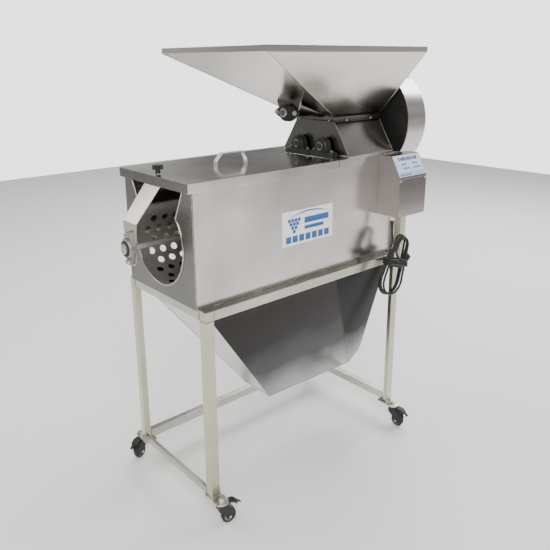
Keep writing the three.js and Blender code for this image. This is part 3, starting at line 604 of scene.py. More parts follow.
def evenly(path, step):
    """The same line with its points an equal distance apart."""
    runs = [0.0]
    for a, b in zip(path, path[1:]):
        runs.append(runs[-1] + (b - a).length)
    count = round(runs[-1] / step)
    out, at_run = [], 0
    for i in range(count + 1):
        wanted = runs[-1] * i / count
        while at_run < len(runs) - 2 and runs[at_run + 1] < wanted:
            at_run += 1
        gap = max(runs[at_run + 1] - runs[at_run], 1e-9)
        out.append(path[at_run].lerp(path[at_run + 1], (wanted - runs[at_run]) / gap))
    return out


def relaxed(path):
    """The path with every bend tighter than TIGHTEST eased, its ends held."""
    reach = 3
    limit = (reach * STEP) ** 2 / TIGHTEST
    for _ in range(60):
        path = evenly(path, STEP)
        for _ in range(12):
            eased = list(path)
            for i in range(reach, len(path) - reach):
                if (path[i - reach] + path[i + reach] - path[i] * 2).length > limit:
                    for k in range(i - reach, i + reach + 1):
                        if 2 < k < len(path) - 2:
                            eased[k] = (path[k - 1] + path[k] * 2 + path[k + 1]) / 4
            path = eased
    return evenly(path, STEP)


def make_cord():
    route = relaxed(smooth_path([*LEAD, *hank_turns(), CORD_END], 4.5))
    data = bpy.data.curves.new("mains_cord", "CURVE")
    data.dimensions = "3D"
    data.bevel_depth = CORD_D / 2000
    data.bevel_resolution = 5
    data.use_fill_caps = True
    spline = data.splines.new("POLY")
    spline.points.add(len(route) - 1)
    for point, place in zip(spline.points, route):
        point.co = (*at(*place), 1)
    spline.use_smooth = True
    data.materials.append(RUBBER)
    cord = bpy.data.objects.new("mains_cord", data)
    bpy.context.scene.collection.objects.link(cord)
    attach(cord, "frame")
    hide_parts("power_cord", "cord_hank")
    length = sum((b - a).length for a, b in zip(route, route[1:])) / 1000
    return cord, length


def make_plug():
    build = Build()
    x, y, z = CORD_END + Vector((12, 0, 0))
    build.lathe("x", y, z, [(-12, 0), (-12, 5.2), (1, 6.6), (4, 9), (7, 9.4), (9, 15.5),
                            (13, 17.3), (20, 17), (23.5, 15.4), (24.4, 13), (24.4, 0)],
                36, base=x)
    for i in range(4):
        build.ring_strip("x", y, z, x - 9 + i * 3.2, x - 7.6 + i * 3.2, 7.1, 5.0, 28)
    build.color(1)
    for side in (-1, 1):
        build.rod("x", x + 23, x + 41, y + side * 9.5, z, 2.4, 20, 1.1)
    return build.piece("mains_plug", [BLACK, BRIGHT], replaces="plug", slot="black_plastic")


def make_gland():
    build = Build()
    x, y = GLAND.x, GLAND.y
    build.lathe("z", x, y, [(954.6, 0), (954.6, 12.6), (953.8, 13), (947, 13), (946.2, 12.4),
                            (946.2, 0)], 6)
    build.lathe("z", x, y, [(946.4, 0), (946.4, 11.2), (942, 11.4), (938, 10.6), (935.2, 8),
                            (935.2, 0)], 36)
    for i in range(16):
        build.rod("z", 938.4, 945.6, *around(x, y, 11, 2 * math.pi * i / 16), 0.9, 8)
    build.piece("gland_nut", WHITE_PLASTIC, replaces="cable_gland", slot="grey_plastic",
                bevel=0.5)
    relief = Build()
    points = [GLAND + Vector((0, 0, 1)), *smooth_path(LEAD, 4)[2:10]]
    last = len(points) - 1
    radii = [7.4 - 2.4 * i / last + (0.35 if i % 2 else 0) for i in range(len(points))]
    relief.pipe(points, radii, 24)
    relief.piece("strain_relief", BLACK, slot="black_plastic")


# ---- frame
def make_frame_tubes():
    for node in frame["nodes"]:
        if node.startswith("leg_"):
            rounded(node, TUBE, 2.6, 3)
        if node.startswith(("rail_", "brace_")):
            rounded(node, RAIL, 2.2, 3)


def make_frame_welds():
    """Beads where rails meet legs and braces meet legs."""
    build = Build()
    for x in (35.2, 955):
        build.bead((x, -0.4, 745), (x, -0.4, 776))
        build.bead((x, 486.4, 745), (x, 486.4, 776))
    for y in (35.2, 451):
        build.bead((-0.4, y, 745), (-0.4, y, 776))
        build.bead((990.4, y, 745), (990.4, y, 776))
    build.bead((1, 1, 742.8), (34, 1, 742.8), 1.8)
    build.bead((1, 1, 742.8), (1, 34, 742.8), 1.8)
    build.bead((-0.3, 35.3, 80), (-0.3, 35.3, 101))
    build.bead((0.5, 458.7, 80), (0.5, 458.7, 101))
    build.bead((990, -0.4, 745), (990, -0.4, 777), 2.0)
    build.bead((963, 20.2, 111), (989, 20.2, 113.5), 2.0)
    build.bead((28, 459, 80), (28, 459, 112))
    build.bead((962, 459, 80), (962, 459, 112))
    build.piece("frame_welds", WELD, slot="stainless_tube")


# ---- casters
def both_faces(half, profile):
    """Turned profile from (depth under the face, radius) pairs and their mirror image."""
    near = [(depth - half, radius) for depth, radius in profile]
    return near + [(-place, radius) for place, radius in near[::-1]]


PLATE_TOP = 77.7
PLATE_UNDER = 71.7
AXLE_Z = 10
TRAIL = 26
WHEEL_R = 27
WHEEL_HALF = 10


def make_caster(name):
    joints = {j["name"]: j for j in frame["joints"]}
    stem = Vector(joints[f"swivel_{name}"]["pos_m"])
    side = joints[f"wheel_{name}"]["axis"]
    stem = (stem - ORIGIN) * 1000
    turn = math.atan2(-side[0], side[1])
    local = Matrix.Translation((stem.x, stem.y, 0)) @ Matrix.Rotation(turn, 4, "Z")
    make_foot_plate(name, stem)
    make_fork(name, local)
    make_wheel(name, local)
    make_brake(name, local)


def make_foot_plate(name, stem):
    inner = 40 if stem.y < 0 else 446
    circles = [(stem.x, stem.y, 25), (stem.x - 22, inner, 3), (stem.x + 22, inner, 3)]
    build = Build()
    build.prism("z", hull_outline(circles, 48), PLATE_UNDER, PLATE_TOP)
    build.rod("z", PLATE_TOP, PLATE_TOP + 1.6, stem.x, stem.y, 13, 36, 0.4)
    build.hexagon("z", PLATE_TOP + 1.6, PLATE_TOP + 9.5, stem.x, stem.y, 10, 0.4)
    build.rod("z", PLATE_TOP + 9, PLATE_TOP + 14.6, stem.x, stem.y, 5, 24, 1.4)
    for i in range(3):
        thread = PLATE_TOP + 9.6 + i * 1.4
        build.ring_strip("z", stem.x, stem.y, thread, thread + 0.6, 5.3, 4.6, 24)
    build.rod("z", PLATE_UNDER - 11, PLATE_UNDER, stem.x, stem.y, 4.6, 20)
    edge = 0.6 if stem.y < 0 else 485.4
    build.bead((stem.x - 16, edge, PLATE_TOP + 0.6), (stem.x + 15, edge, PLATE_TOP + 0.6), 2.0)
    build.piece(f"foot_plate_{name}", ZINC, replaces=f"caster_plate_{name}",
                bevel=0.7)


def make_fork(name, local):
    body = f"swivel_{name}"
    rounded(f"caster_fork_{name}", BLACK, 1.8, 3)
    build = Build(local)
    for low, high, radius in ((68.4, 71.1, 17.5), (64.6, 67.4, 18.5), (62.0, 64.2, 16.5)):
        build.rod("z", low, high, 0, 0, radius, 40, 0.9)
    for side in (-1, 1):
        face = side * 14
        build.rod("y", *sorted((face, face + side)), TRAIL, AXLE_Z, 8.2, 32, 0.4)
        build.color(1).hexagon("y", face + side * 0.9, face + side * 4.4, TRAIL, AXLE_Z, 5.4)
        build.color(0)
        build.pipe([(4, face, 52), (18, face, 47), (34, face, 38), (44, face, 24)],
                   [1.0, 1.5, 1.5, 0.8], 8)
    build.piece(f"fork_fittings_{name}", [BLACK, ZINC], body, slot="black_plastic")


def make_wheel(name, local):
    build = Build(local)
    tyre = [(0.6, 19), (0, 21.5), (0.5, 24), (2.4, WHEEL_R - 0.8), (4.6, WHEEL_R)]
    hub = [(1.6, 19.4), (1.0, 18.6), (1.2, 16), (3.4, 14.4), (3.6, 9), (0.4, 7.8), (0.4, 4.8)]
    for paint, profile in enumerate((tyre, hub)):
        build.color(paint).lathe("y", TRAIL, AXLE_Z, both_faces(WHEEL_HALF, profile), 64)
    build.piece(f"wheel_{name}", [TREAD, HUB], f"wheel_{name}",
                replaces=f"caster_wheel_{name}", slot="wheel_rubber")


def make_brake(name, local):
    rounded(f"caster_brake_{name}", BLACK, 1.2, 3)
    build = Build(local)
    for i in range(4):
        x = 46.5 + i * 3.0
        z = 69.2 - i * 2.1
        build.pipe([(x, -9.5, z), (x, 9.5, z)], 0.85, 8)
    build.piece(f"brake_ribs_{name}", BLACK, f"brake_{name}", slot="black_plastic")


# ---- body
def make_body_sheets():
    rounded("wall_front", WALL, 0.9)
    rounded("wall_back", WALL, 0.9)
    # The outlet end plate takes the darkened steel: painted shade on the side turned to -X.
    rounded("end_plate_outlet", END_SHADE_STEEL, 0.9)
    rounded("end_plate_drive", WALL, 0.9)
    lid = rounded("lid", LID_STEEL, 1.8, 3)
    # The lid's faces turned to -X take the darkened steel: painted shade on that side.
    lid.data.materials.append(END_SHADE_STEEL)
    for face in lid.data.polygons:
        if face.normal.x < -0.5:
            face.material_index = 1
    rounded("deck", LID_STEEL, 1.8, 3)
    rounded("lid_handle", HANDLE, 1.3, 3)
    rounded("bearing_strap", SHEET, 1.0)


def opening_edge():
    """The outlet's outline in the end plate: round below, a notch that widens to the top."""
    radius, neck_half, notch_half, top = 150, 112, 172, 1186
    neck_z = AXIS_Z + math.sqrt(radius ** 2 - neck_half ** 2)
    start = math.atan2(neck_z - AXIS_Z, neck_half)
    sweep = math.pi + 2 * start
    arc = [around(MID_Y, AXIS_Z, radius, start - sweep * i / 60) for i in range(61)]
    return [(MID_Y + notch_half, top), *arc, (MID_Y - notch_half, top)]


def make_body_edges():
    """Rolled rim round the outlet, seams at the corners and beads on the body's feet."""
    build = Build()
    build.pipe([(-10.6, y, z) for y, z in opening_edge()], 3.0, 12)
    build.color(1)
    for y in (34.2, 451.8):
        build.bead((-9.6, y, 782), (-9.6, y, 1160), 1.5, 2.6)
        build.bead((980.6, y, 782), (980.6, y, 1160), 1.5, 2.6)
    for i in range(6):
        x = 60 + i * 165
        build.bead((x, 32.4, 778.8), (x + 38, 32.4, 778.8), 1.9)
        build.bead((x, 453.6, 778.8), (x + 38, 453.6, 778.8), 1.9)
    build.piece("body_edges", [SHEET, WELD])


CREASE_X = 640
SPOUT = (861, 95, 251)
FOOT = (409, 77, 249)
FOOT_Z = 285
THICK = 2.5


def make_chute():
    """Folded funnel: upright band, long slope, and long sides creased near the drive end."""
    low, high = layout_box("juice_chute")

    def band(z, inset):
        half = MID_Y - low.y - inset
        return [(low.x + inset, half, z), (CREASE_X, half, z), (high.x - inset, half, z)]

    def mouth(inset):
        return [(FOOT[0] + inset, FOOT[1] - inset, FOOT[2]),
                (SPOUT[0], SPOUT[1] - inset, SPOUT[2] + inset / 3),
                (high.x - inset, FOOT[1] - inset, FOOT_Z)]

    rings = []
    for side in (band(high.z, 0), band(RAIL_UNDERSIDE, 0), mouth(0), mouth(THICK),
                 band(RAIL_UNDERSIDE, THICK), band(high.z, THICK)):
        rings.append([(x, MID_Y - half, z) for x, half, z in side]
                     + [(x, MID_Y + half, z) for x, half, z in side[::-1]])
    # The outlet end band takes the copy painted as lit; the facets past the crease and the drive end take the copy
    # painted as shade.
    build = Build().shell(rings, (0, 2, 2, 2, 0, 1))
    build.piece("chute_sheet", [CHUTE, CHUTE_PAINTED_LIGHT, CHUTE_PAINTED_SHADE], replaces="juice_chute",
                bevel=1.1)


def make_chute_seams():
    build = Build()
    for side in (-1, 1):
        def y(half):
            return MID_Y + side * half

        build.bead((35.6, y(207.4), 743), (409.4, y(76.6), 250), 1.6, 3)
        build.bead((954.4, y(207.4), 743), (954.4, y(76.8), 288), 1.6, 3)
        build.bead((35.3, y(207.6), 745), (35.3, y(207.6), 771), 1.6, 3)
        build.pipe([(CREASE_X, y(207.6), 743), (SPOUT[0], y(95.2), 251.5)], 1.3, 8)
    edge = [(409, 76.4, 249.4), (861, 94.4, 251.4), (954, 76.4, 285.4)]
    low = ([(x, MID_Y - half, z) for x, half, z in edge]
           + [(x, MID_Y + half, z) for x, half, z in edge[::-1]])
    for a, b in zip(low, [*low[1:], low[0]]):
        build.pipe([a, b], 1.7, 10)
    build.piece("chute_seams", CHUTE)


def make_knob():
    x, z0 = 2, LID_TOP + 0.3
    build = Build()
    outline = [around(x, MID_Y, 16.6 + 3.4 * math.cos(6 * a), a)
               for a in (2 * math.pi * i / 96 for i in range(96))]
    build.prism("z", outline, z0 + 16, z0 + 29.6)
    build.lathe("z", x, MID_Y, [(1.6, 0), (1.6, 8.4), (3, 9), (9, 8.2), (14, 9.6), (17, 12.5),
                                (17, 0)], 40, base=z0)
    build.color(1)
    build.rod("z", z0, z0 + 1.5, x, MID_Y, 12, 36, 0.4)
    build.rod("z", z0 - 28, z0 + 2, x, MID_Y, 4.9, 24, 1.0)
    for i in range(8):
        build.ring_strip("z", x, MID_Y, z0 - 26.5 + i * 2, z0 - 25.6 + i * 2, 5.4, 4.4, 24)
    build.piece("star_knob", [BLACK, ZINC], "lid_knob", replaces="lid_knob",
                slot="black_plastic", bevel=1.1, steps=3)


# ---- screen
HOLE_R = 12.5
HOLE_PITCH = 46.5
ROW_ANGLE = 14.4
FIRST_ROW = 15.0
SCREEN_R = 157
SCREEN_X0 = -6
LOWER_X1 = 965
UPPER_X1 = 715
SCREEN_TOP = 40


def perforated_tile(build, middle, angle, wrap):
    """One hole with the sheet round it, out to the edges of its tile."""
    half_x = HOLE_PITCH / 2
    half_s = ROW_ANGLE / 2
    steps = 24
    degree = math.radians(1) * SCREEN_R
    hole, rim = [], []
    for i in range(steps):
        turn = 2 * math.pi * i / steps
        dx, ds = math.cos(turn), math.sin(turn)
        hole.append(wrap(middle + HOLE_R * dx, angle + HOLE_R * ds / degree))
        reach = min(half_x / max(abs(dx), 1e-6), half_s * degree / max(abs(ds), 1e-6))
        rim.append(wrap(middle + reach * dx, angle + reach * ds / degree))
    corner_turn = math.atan2(half_s * degree, half_x)
    corners = [corner_turn, math.pi - corner_turn, math.pi + corner_turn, -corner_turn]
    points = hole + rim
    faces = [(i, (i + 1) % steps, steps + (i + 1) % steps, steps + i) for i in range(steps)]
    signs = [(1, 1), (-1, 1), (-1, -1), (1, -1)]
    for (sx, ss), turn in zip(signs, corners):
        before = int((turn % (2 * math.pi)) / (2 * math.pi) * steps) % steps
        points.append(wrap(middle + sx * half_x, angle + ss * half_s))
        faces.append((steps + before, steps + (before + 1) % steps, len(points) - 1))
    build.add(points, faces)


def make_screen():
    def wrap(x, angle):
        turn = math.radians(angle)
        return (x, *around(MID_Y, AXIS_Z, SCREEN_R, turn))

    def strip(build, x0, x1, top, bottom):
        count = max(1, round((top - bottom) / 3.6))
        for i in range(count):
            a = top - (top - bottom) * i / count
            b = top - (top - bottom) * (i + 1) / count
            build.add([wrap(x0, a), wrap(x1, a), wrap(x1, b), wrap(x0, b)], [(0, 1, 2, 3)])

    build = Build()
    half = ROW_ANGLE / 2
    rows = 14
    for row in range(rows):
        angle = FIRST_ROW - row * ROW_ANGLE
        x1 = UPPER_X1 if angle > -5 or angle < -175 else LOWER_X1
        middle = 39 + (0 if row % 2 else HOLE_PITCH / 2)
        strip(build, SCREEN_X0, middle - HOLE_PITCH / 2, angle + half, angle - half)
        while middle + HOLE_PITCH / 2 < x1 - 4:
            perforated_tile(build, middle, angle, wrap)
            middle += HOLE_PITCH
        strip(build, middle - HOLE_PITCH / 2, x1, angle + half, angle - half)
    strip(build, SCREEN_X0, UPPER_X1, SCREEN_TOP, FIRST_ROW + half)
    strip(build, SCREEN_X0, UPPER_X1, FIRST_ROW - (rows - 0.5) * ROW_ANGLE, -180 - SCREEN_TOP)
    bmesh.ops.remove_doubles(build.mesh, verts=build.mesh.verts, dist=0.01)
    screen = build.piece("perforated_screen", SCREEN, replaces=("screen_lower", "screen_upper"))
    wall = screen.modifiers.new("wall", "SOLIDIFY")
    wall.thickness = 0.002
    wall.offset = 0
    make_screen_frame()


def make_screen_frame():
    """Edge bars of the screen, the rails it hangs on and its end hoops."""
    build = Build()
    for side in (-1, 1):
        edge = MID_Y + side * SCREEN_R * math.cos(math.radians(SCREEN_TOP))
        top = AXIS_Z + SCREEN_R * math.sin(math.radians(SCREEN_TOP))
        build.box(SCREEN_X0, UPPER_X1, *sorted((edge - side * 1.5, edge + side * 13)),
                  top - 1, top + 2)
        near, far = sorted((MID_Y + side * 158.5, MID_Y + side * 206))
        build.box(SCREEN_X0, UPPER_X1, near, far, AXIS_Z + 0.4, AXIS_Z + 3)
        build.box(SCREEN_X0, LOWER_X1, near, far, AXIS_Z - 3, AXIS_Z - 0.4)
        for i in range(6):
            build.bolt("z", AXIS_Z + 3, 60 + i * 120, MID_Y + side * 182, 6.5, 1, 9)
    for x in (340, UPPER_X1 - 14):
        arc = [math.radians(SCREEN_TOP + (180 - 2 * SCREEN_TOP) * i / 24) for i in range(25)]
        outer = [around(MID_Y, AXIS_Z, SCREEN_R + 1, a) for a in arc]
        inner = [around(MID_Y, AXIS_Z, SCREEN_R - 1.5, a) for a in arc[::-1]]
        build.prism("x", outer + inner, x, x + 14)
    build.piece("screen_frame", SCREEN, bevel=0.4)


# ---- bearings
PILLOW_X = 704
ROLLER_Z = 1229
ROLLER_Y = 66


def flange_bearing(name, node, face, z, upright, casting, slot):
    """Two-bolt flange bearing on the face at x = face, facing -X."""
    build = Build()
    span = 45 if upright else 49.5
    bolts = [(MID_Y, z + s * span) if upright else (MID_Y + s * span, z) for s in (-1, 1)]
    circles = [(MID_Y, z, 31), *((a, b, 13) for a, b in bolts)]
    build.prism("x", hull_outline(circles, 56), face - 11, face)
    build.lathe("x", MID_Y, z, [(-9, 0), (-9, 33), (-15, 32.6), (-19, 31), (-20.4, 29.4),
                                (-20.4, 0)], 56, base=face)
    for a, b in bolts:
        build.rod("x", face - 13, face - 8, a, b, 11.6, 36, 1.2)
    tip = (MID_Y + (22 if upright else 0), z + (22 if upright else 31))
    build.pipe([(face - 13, *tip), (face - 13, tip[0] + (5 if upright else 0), tip[1] + 6)],
               [2.6, 1.8], 14)
    build.color(1)
    build.lathe("x", MID_Y, z, [(-18, 0), (-18, 27.4), (-22, 26.6), (-23.4, 24),
                                (-22.6, 18.5), (-22.6, 0)], 56, base=face)
    build.color(2)
    build.lathe("x", MID_Y, z, [(-20, 10.3), (-20, 17.6), (-27, 17.2), (-28, 16),
                                (-28, 10.3)], 48, base=face)
    for a, b in bolts:
        build.bolt("x", face - 13, a, b, 9.2, -1)
    screw = around(MID_Y, z, 17, math.radians(200))
    build.rod("x", face - 26, face - 24, *screw, 2.2, 12)
    build.piece(name, [casting, BLACK_PAINT_AND_SHADE, ZINC], replaces=node, slot=slot, bevel=1.0, steps=3)


def pillow_block(name, y):
    build = Build()
    x, z, foot = PILLOW_X, ROLLER_Z, LID_TOP + 0.3
    outline = hull_outline([(x + a, y + b, 6) for a in (-13, 13) for b in (-57, 57)], 24)
    build.prism("z", outline, foot, foot + 12)
    build.prism("x", hull_outline([(y, z, 31), (y - 30, foot + 9, 6), (y + 30, foot + 9, 6)], 56),
                x - 13, x + 13)
    build.lathe("x", y, z, [(-16.5, 0), (-16.5, 27), (-12, 30.4), (12, 30.4), (14, 27),
                            (14, 0)], 56, base=x)
    build.pipe([(x, y, z + 29), (x, y, z + 35), (x, y, z + 38)], [3.4, 3.0, 1.6], 14)
    build.color(1)
    build.lathe("x", y, z, [(-15, 0), (-15, 23.4), (-18, 22.8), (-18.6, 17.6), (-18.6, 0)],
                48, base=x)
    build.color(2)
    build.lathe("x", y, z, [(-17, 10.3), (-17, 16.6), (-20.2, 16.4), (-21, 15.2), (-21, 10.3)],
                48, base=x)
    for side in (-1, 1):
        build.bolt("z", foot + 12, x, y + side * 47, 9.5, 1)
    build.piece(f"{name}_casting", [DARK_CAST, BLACK_PAINT_AND_SHADE, RING], replaces=name,
                slot="cast_iron_dark", bevel=1.1, steps=3)


def make_bearings():
    strap = layout_box("bearing_strap")[0].x
    flange_bearing("outlet_bearing", "bearing_outlet", strap - 0.3, AXIS_Z, True, LIGHT_CAST,
                   "cast_iron_light")
    flange_bearing("feed_bearing", "bearing_feed", TROUGH_X - 0.3, FEED_Z, False, DARK_CAST,
                   "cast_iron_dark")
    pillow_block("pillow_block_front", MID_Y - ROLLER_Y)
    pillow_block("pillow_block_back", MID_Y + ROLLER_Y)


# ---- crusher and hopper
TROUGH_X = 582
NECK_HALF = 105
NECK_TOP = 1338
HOPPER_X = (223, 1021)
HOPPER_HALF = 301
RIM_FOOT = 1576
RIM_TOP = 1596


def make_crusher():
    rounded("roller_housing", HOUSING, 1.2)
    rounded("roller_front", ROLLER, 1.2)
    rounded("roller_back", ROLLER, 1.2)
    rounded("beater", SCREEN, 0.8)
    rounded("feed_shaft", RING, 0.8)
    build = Build()
    low, high = layout_box("roller_housing")
    flange = HOUSE_TOP + 3.3
    for x in (low.x + 62, high.x - 60):
        for y in (132.5, 353.5):
            build.bolt("z", flange, x, y, 5.0, 1, 6)
    for side in (-1, 1):
        for x in (low.x - 6.5, high.x + 1.5):
            build.bolt("z", flange, x, MID_Y + side * 82, 4.4, 1, 6)
    build.piece("neck_bolts", SHEET)
    make_housing_feet(low, high)
    make_trough()


def make_housing_feet(low, high):
    """Weld beads where the roller housing stands on the deck and along its corners."""
    build = Build()
    foot = LID_TOP + 1.2
    build.bead((low.x, 60, foot), (high.x, 60, foot), 1.8)
    build.bead((low.x, 426, foot), (high.x, 426, foot), 1.8)
    build.bead((low.x, 60, foot), (low.x, 426, foot), 1.8)
    for x in (low.x, high.x):
        build.bead((x, 60.4, foot), (x, 138, HOUSE_TOP - 1), 1.4)
        build.bead((x, 425.6, foot), (x, 348, HOUSE_TOP - 1), 1.4)
    build.piece("housing_welds", WELD)


def make_trough():
    """Curved trough for the feed shaft, with a round end plate that carries its bearing."""
    build = Build()
    neck, plate = 726, TROUGH_X
    steps = 16
    near, far = [], []
    for i in range(steps + 1):
        turn = math.pi * i / steps
        near.append((plate + 4, MID_Y - 62 * math.cos(turn), 1392 - 52 * math.sin(turn)))
        far.append((neck, MID_Y - 62 * math.cos(turn), 1342 - 8 * math.sin(turn)))
    count = steps + 1
    inside = [(x, MID_Y + (y - MID_Y) * 0.96, z + 2.5) for x, y, z in near + far]
    skin = [(i, i + 1, count + i + 1, count + i) for i in range(steps)]
    lining = [tuple(2 * count + k for k in face[::-1]) for face in skin]
    edges = [(i, i + 1, 2 * count + i + 1, 2 * count + i) for i in range(steps)]
    ends = [(count + i, count + i + 1, 3 * count + i + 1, 3 * count + i) for i in range(steps)]
    sides = [(0, count, 3 * count, 2 * count),
             (steps, count + steps, 3 * count + steps, 2 * count + steps)]
    build.add(near + far + inside, skin + lining + edges + ends + sides)
    outline = hull_outline([(MID_Y, 1378, 52), (MID_Y - 58, 1402, 6), (MID_Y + 58, 1402, 6)], 56)
    build.prism("x", outline, plate, plate + 4)
    build.color(1)
    rim = [(plate + 4, y, z) for y, z in outline if z < 1403]
    build.pipe(rim, 1.5, 10)
    build.piece("feed_trough", [TROUGH, BRIGHT], bevel=0.3)


def make_hopper():
    """Neck flange, neck, flared sheet and folded rim as one shell."""
    low, high = layout_box("roller_housing")
    x0, x1, half, foot = low.x, high.x, NECK_HALF, HOUSE_TOP + 0.3
    left, right = HOPPER_X
    wide = HOPPER_HALF
    profile = [(x0 - 12, x1 + 6, half + 12, foot), (x0 - 12, x1 + 6, half + 12, foot + 3),
               (x0, x1, half, foot + 3), (x0, x1, half, NECK_TOP),
               (left + 4, right - 4, wide - 4, RIM_FOOT - 1), (left, right, wide, RIM_FOOT),
               (left, right, wide, RIM_TOP), (left + 10, right - 8, wide - 10, RIM_TOP),
               (left + 10, right - 8, wide - 10, RIM_TOP - 8),
               (left + 8, right - 7, wide - 7.5, RIM_FOOT),
               (x0 + 3, x1 - 3, half - 3, NECK_TOP), (x0 + 3, x1 - 3, half - 3, foot)]
    build = Build().shell([[(a, MID_Y - reach, z), (b, MID_Y - reach, z),
                            (b, MID_Y + reach, z), (a, MID_Y + reach, z)]
                           for a, b, reach, z in profile])
    build.piece("hopper_shell", HOPPER, replaces="hopper", bevel=1.0)


def make_hopper_seams():
    """Welds down the hopper's four corners and up the neck's two outlet end corners."""
    build = Build()
    low, high = layout_box("roller_housing")
    left, right = HOPPER_X
    for side in (-1, 1):
        rim = MID_Y + side * (HOPPER_HALF - 4)
        neck = MID_Y + side * NECK_HALF
        corner = MID_Y + side * (NECK_HALF + 0.2)
        build.bead((left + 4, rim, RIM_FOOT - 2), (low.x, neck, NECK_TOP + 1), 1.5)
        build.bead((right - 4, rim, RIM_FOOT - 2), (high.x, neck, NECK_TOP + 1), 1.5)
        build.bead((low.x - 0.3, corner, NECK_TOP - 12), (low.x - 0.3, corner, NECK_TOP), 1.5)
    build.piece("hopper_seams", HOPPER)


# ---- drive end
def make_guard():
    rounded("belt_guard", GUARD, 2.6, 3)
    # The guard plate is black: painted shade on the guard's open face.
    rounded("guard_plate", BLACK_PAINT_AND_SHADE, 0.8)
    rounded("drive_belt", RUBBER, 1.4)
    low, high = layout_box("belt_guard")
    build = Build()
    centre_z = high.z - 217
    for i in range(6):
        place = around(MID_Y, centre_z, 196, math.pi * (i + 0.5) / 6)
        build.bolt("x", low.x - 0.2, *place, 5.0, -1)
    build.piece("guard_screws", BLACK_PAINT_AND_SHADE, slot="black_paint")


def make_motor():
    x0 = layout_box("gearmotor")[0].x
    x1 = x0 + 92
    middle, motor_y = x0 + 62, MID_Y + 62
    build = Build()
    build.prism("x", hull_outline([(MID_Y + a, AXIS_Z + b, 14) for a in (-41, 41)
                                   for b in (-48, 48)], 32), x0 + 3, x1 - 3)
    build.rod("x", x0, x1, MID_Y, AXIS_Z, 44, 48, 2)
    build.rod("y", MID_Y + 50, motor_y + 6, middle, AXIS_Z, 30, 40, 1)
    fins = 32
    outline = []
    for i in range(fins * 4):
        radius = 57.5 if i % 4 in (1, 2) else 50
        outline.append(around(middle, AXIS_Z, radius, 2 * math.pi * i / (fins * 4)))
    build.prism("y", outline, motor_y + 12, motor_y + 124)
    build.rod("y", motor_y, motor_y + 13, middle, AXIS_Z, 58, 56, 3)
    build.lathe("y", middle, AXIS_Z, [(122, 0), (122, 60.6), (150, 60.6), (157, 56),
                                      (159.6, 48), (159.6, 0)], 64, base=motor_y)
    build.box(middle - 35, middle + 35, motor_y + 20, motor_y + 100, AXIS_Z + 44, AXIS_Z + 74)
    build.box(middle - 37, middle + 37, motor_y + 18, motor_y + 102, AXIS_Z + 74, AXIS_Z + 77.6)
    build.color(1)
    for i in range(-3, 4):
        reach = math.sqrt(44 ** 2 - (i * 11) ** 2)
        build.box(middle - reach, middle + reach, motor_y + 159.2, motor_y + 160,
                  AXIS_Z + i * 11 - 2.6, AXIS_Z + i * 11 + 2.6)
    for a in (-1, 1):
        for b in (-1, 1):
            build.bolt("y", motor_y + 6, middle + a * 43, AXIS_Z + b * 43, 5.2, -1)
            build.bolt("z", AXIS_Z + 77.4, middle + a * 30, motor_y + 60 + b * 34, 3.2, 1)
            build.bolt("x", x1 - 3, MID_Y + a * 41, AXIS_Z + b * 48, 5.4, 1)
    build.piece("gear_motor", [MOTOR, BLACK_PAINT_AND_SHADE], replaces="gearmotor", slot="motor_paint",
                bevel=0.9)


# ---- electrics
def make_control_box():
    rounded("control_box", BOX, 1.4, 3)
    low, high = layout_box("control_box")
    build = Build()
    build.color(1)
    for x in (low.x + 9, high.x - 9):
        for z in (966, 1098):
            build.rod("y", low.y - 1.6, low.y, x, z, 4.0, 24, 0.9)
    build.color(0)
    build.box(low.x, low.x + 3, 26, 32.8, 955.6, 1162)
    left, right = low.x + 3, high.x - 3
    for x0, x1, z0, z1 in ((left, right, 958, 959.2), (left, right, 1104, 1105.2),
                           (left, low.x + 4.2, 959, 1104), (high.x - 4.2, right, 959, 1104)):
        build.box(x0, x1, low.y - 0.5, low.y, z0, z1)
    build.piece("box_fittings", [BOX, ZINC], slot="box_steel", bevel=0.2)
    make_data_plate(low, high)
    make_switch(high)


def make_data_plate(low, high):
    """Plate on the box's slope with generic marks: bars, dashes and a blue band."""
    foot = Vector((low.x, low.y, 1110))
    head = Vector((low.x, -30, 1192))
    rise = (head - foot).normalized()
    across = Vector((1, 0, 0))
    normal = across.cross(rise)
    basis = Matrix((across, rise, normal)).transposed().to_4x4()
    build = Build(Matrix.Translation(foot) @ basis)
    wide, tall = high.x - low.x, (head - foot).length
    build.box(2.5, wide - 2.5, 4, tall - 2, 0.1, 0.8)
    build.color(1)
    for i in range(9):
        x = 30 + i * 13
        build.box(x, x + (9.6 if i % 3 else 7.4), tall - 25, tall - 9 - 3 * (i % 2), 0.8, 1.0)
    for row, (start, marks) in enumerate(((40, 3), (40, 4))):
        for side in (0, 66):
            for i in range(marks):
                x = start + side + i * 10.5
                y = tall - 43 - row * 17
                build.box(x, x + 8 - 2 * ((i + row) % 2), y, y + 7, 0.8, 1.0)
    build.color(2)
    build.box(8, wide - 8, 18, 20, 0.8, 1.0)
    for i in range(6):
        build.box(12 + i * 12, 21 + i * 12, 7, 15 - (i % 2), 0.8, 1.0)
    build.box(92, wide - 12, 9, 12, 0.8, 1.0)
    build.piece("data_plate", [PLATE_FILM, INK, BLUE], slot="label_film")


def make_switch(high):
    build = Build()
    x, y, z = high.x, -20, 1050
    build.color(1).rod("x", x + 0.3, x + 3.4, y, z, 15, 40, 0.8)
    build.color(0)
    build.lathe("x", y, z, [(3.2, 0), (3.2, 13.6), (5, 14), (10, 13), (12, 11), (12, 0)], 40,
                base=x)
    build.box(x + 11, x + 20, y - 3.6, y + 3.6, z - 13, z + 13)
    build.color(2).box(x + 19.8, x + 20, y - 0.9, y + 0.9, z + 3, z + 12)
    build.piece("main_switch", [RED, BLACK, WHITE_PLASTIC], "switch", replaces="switch_knob",
                slot="red_plastic", bevel=0.5)


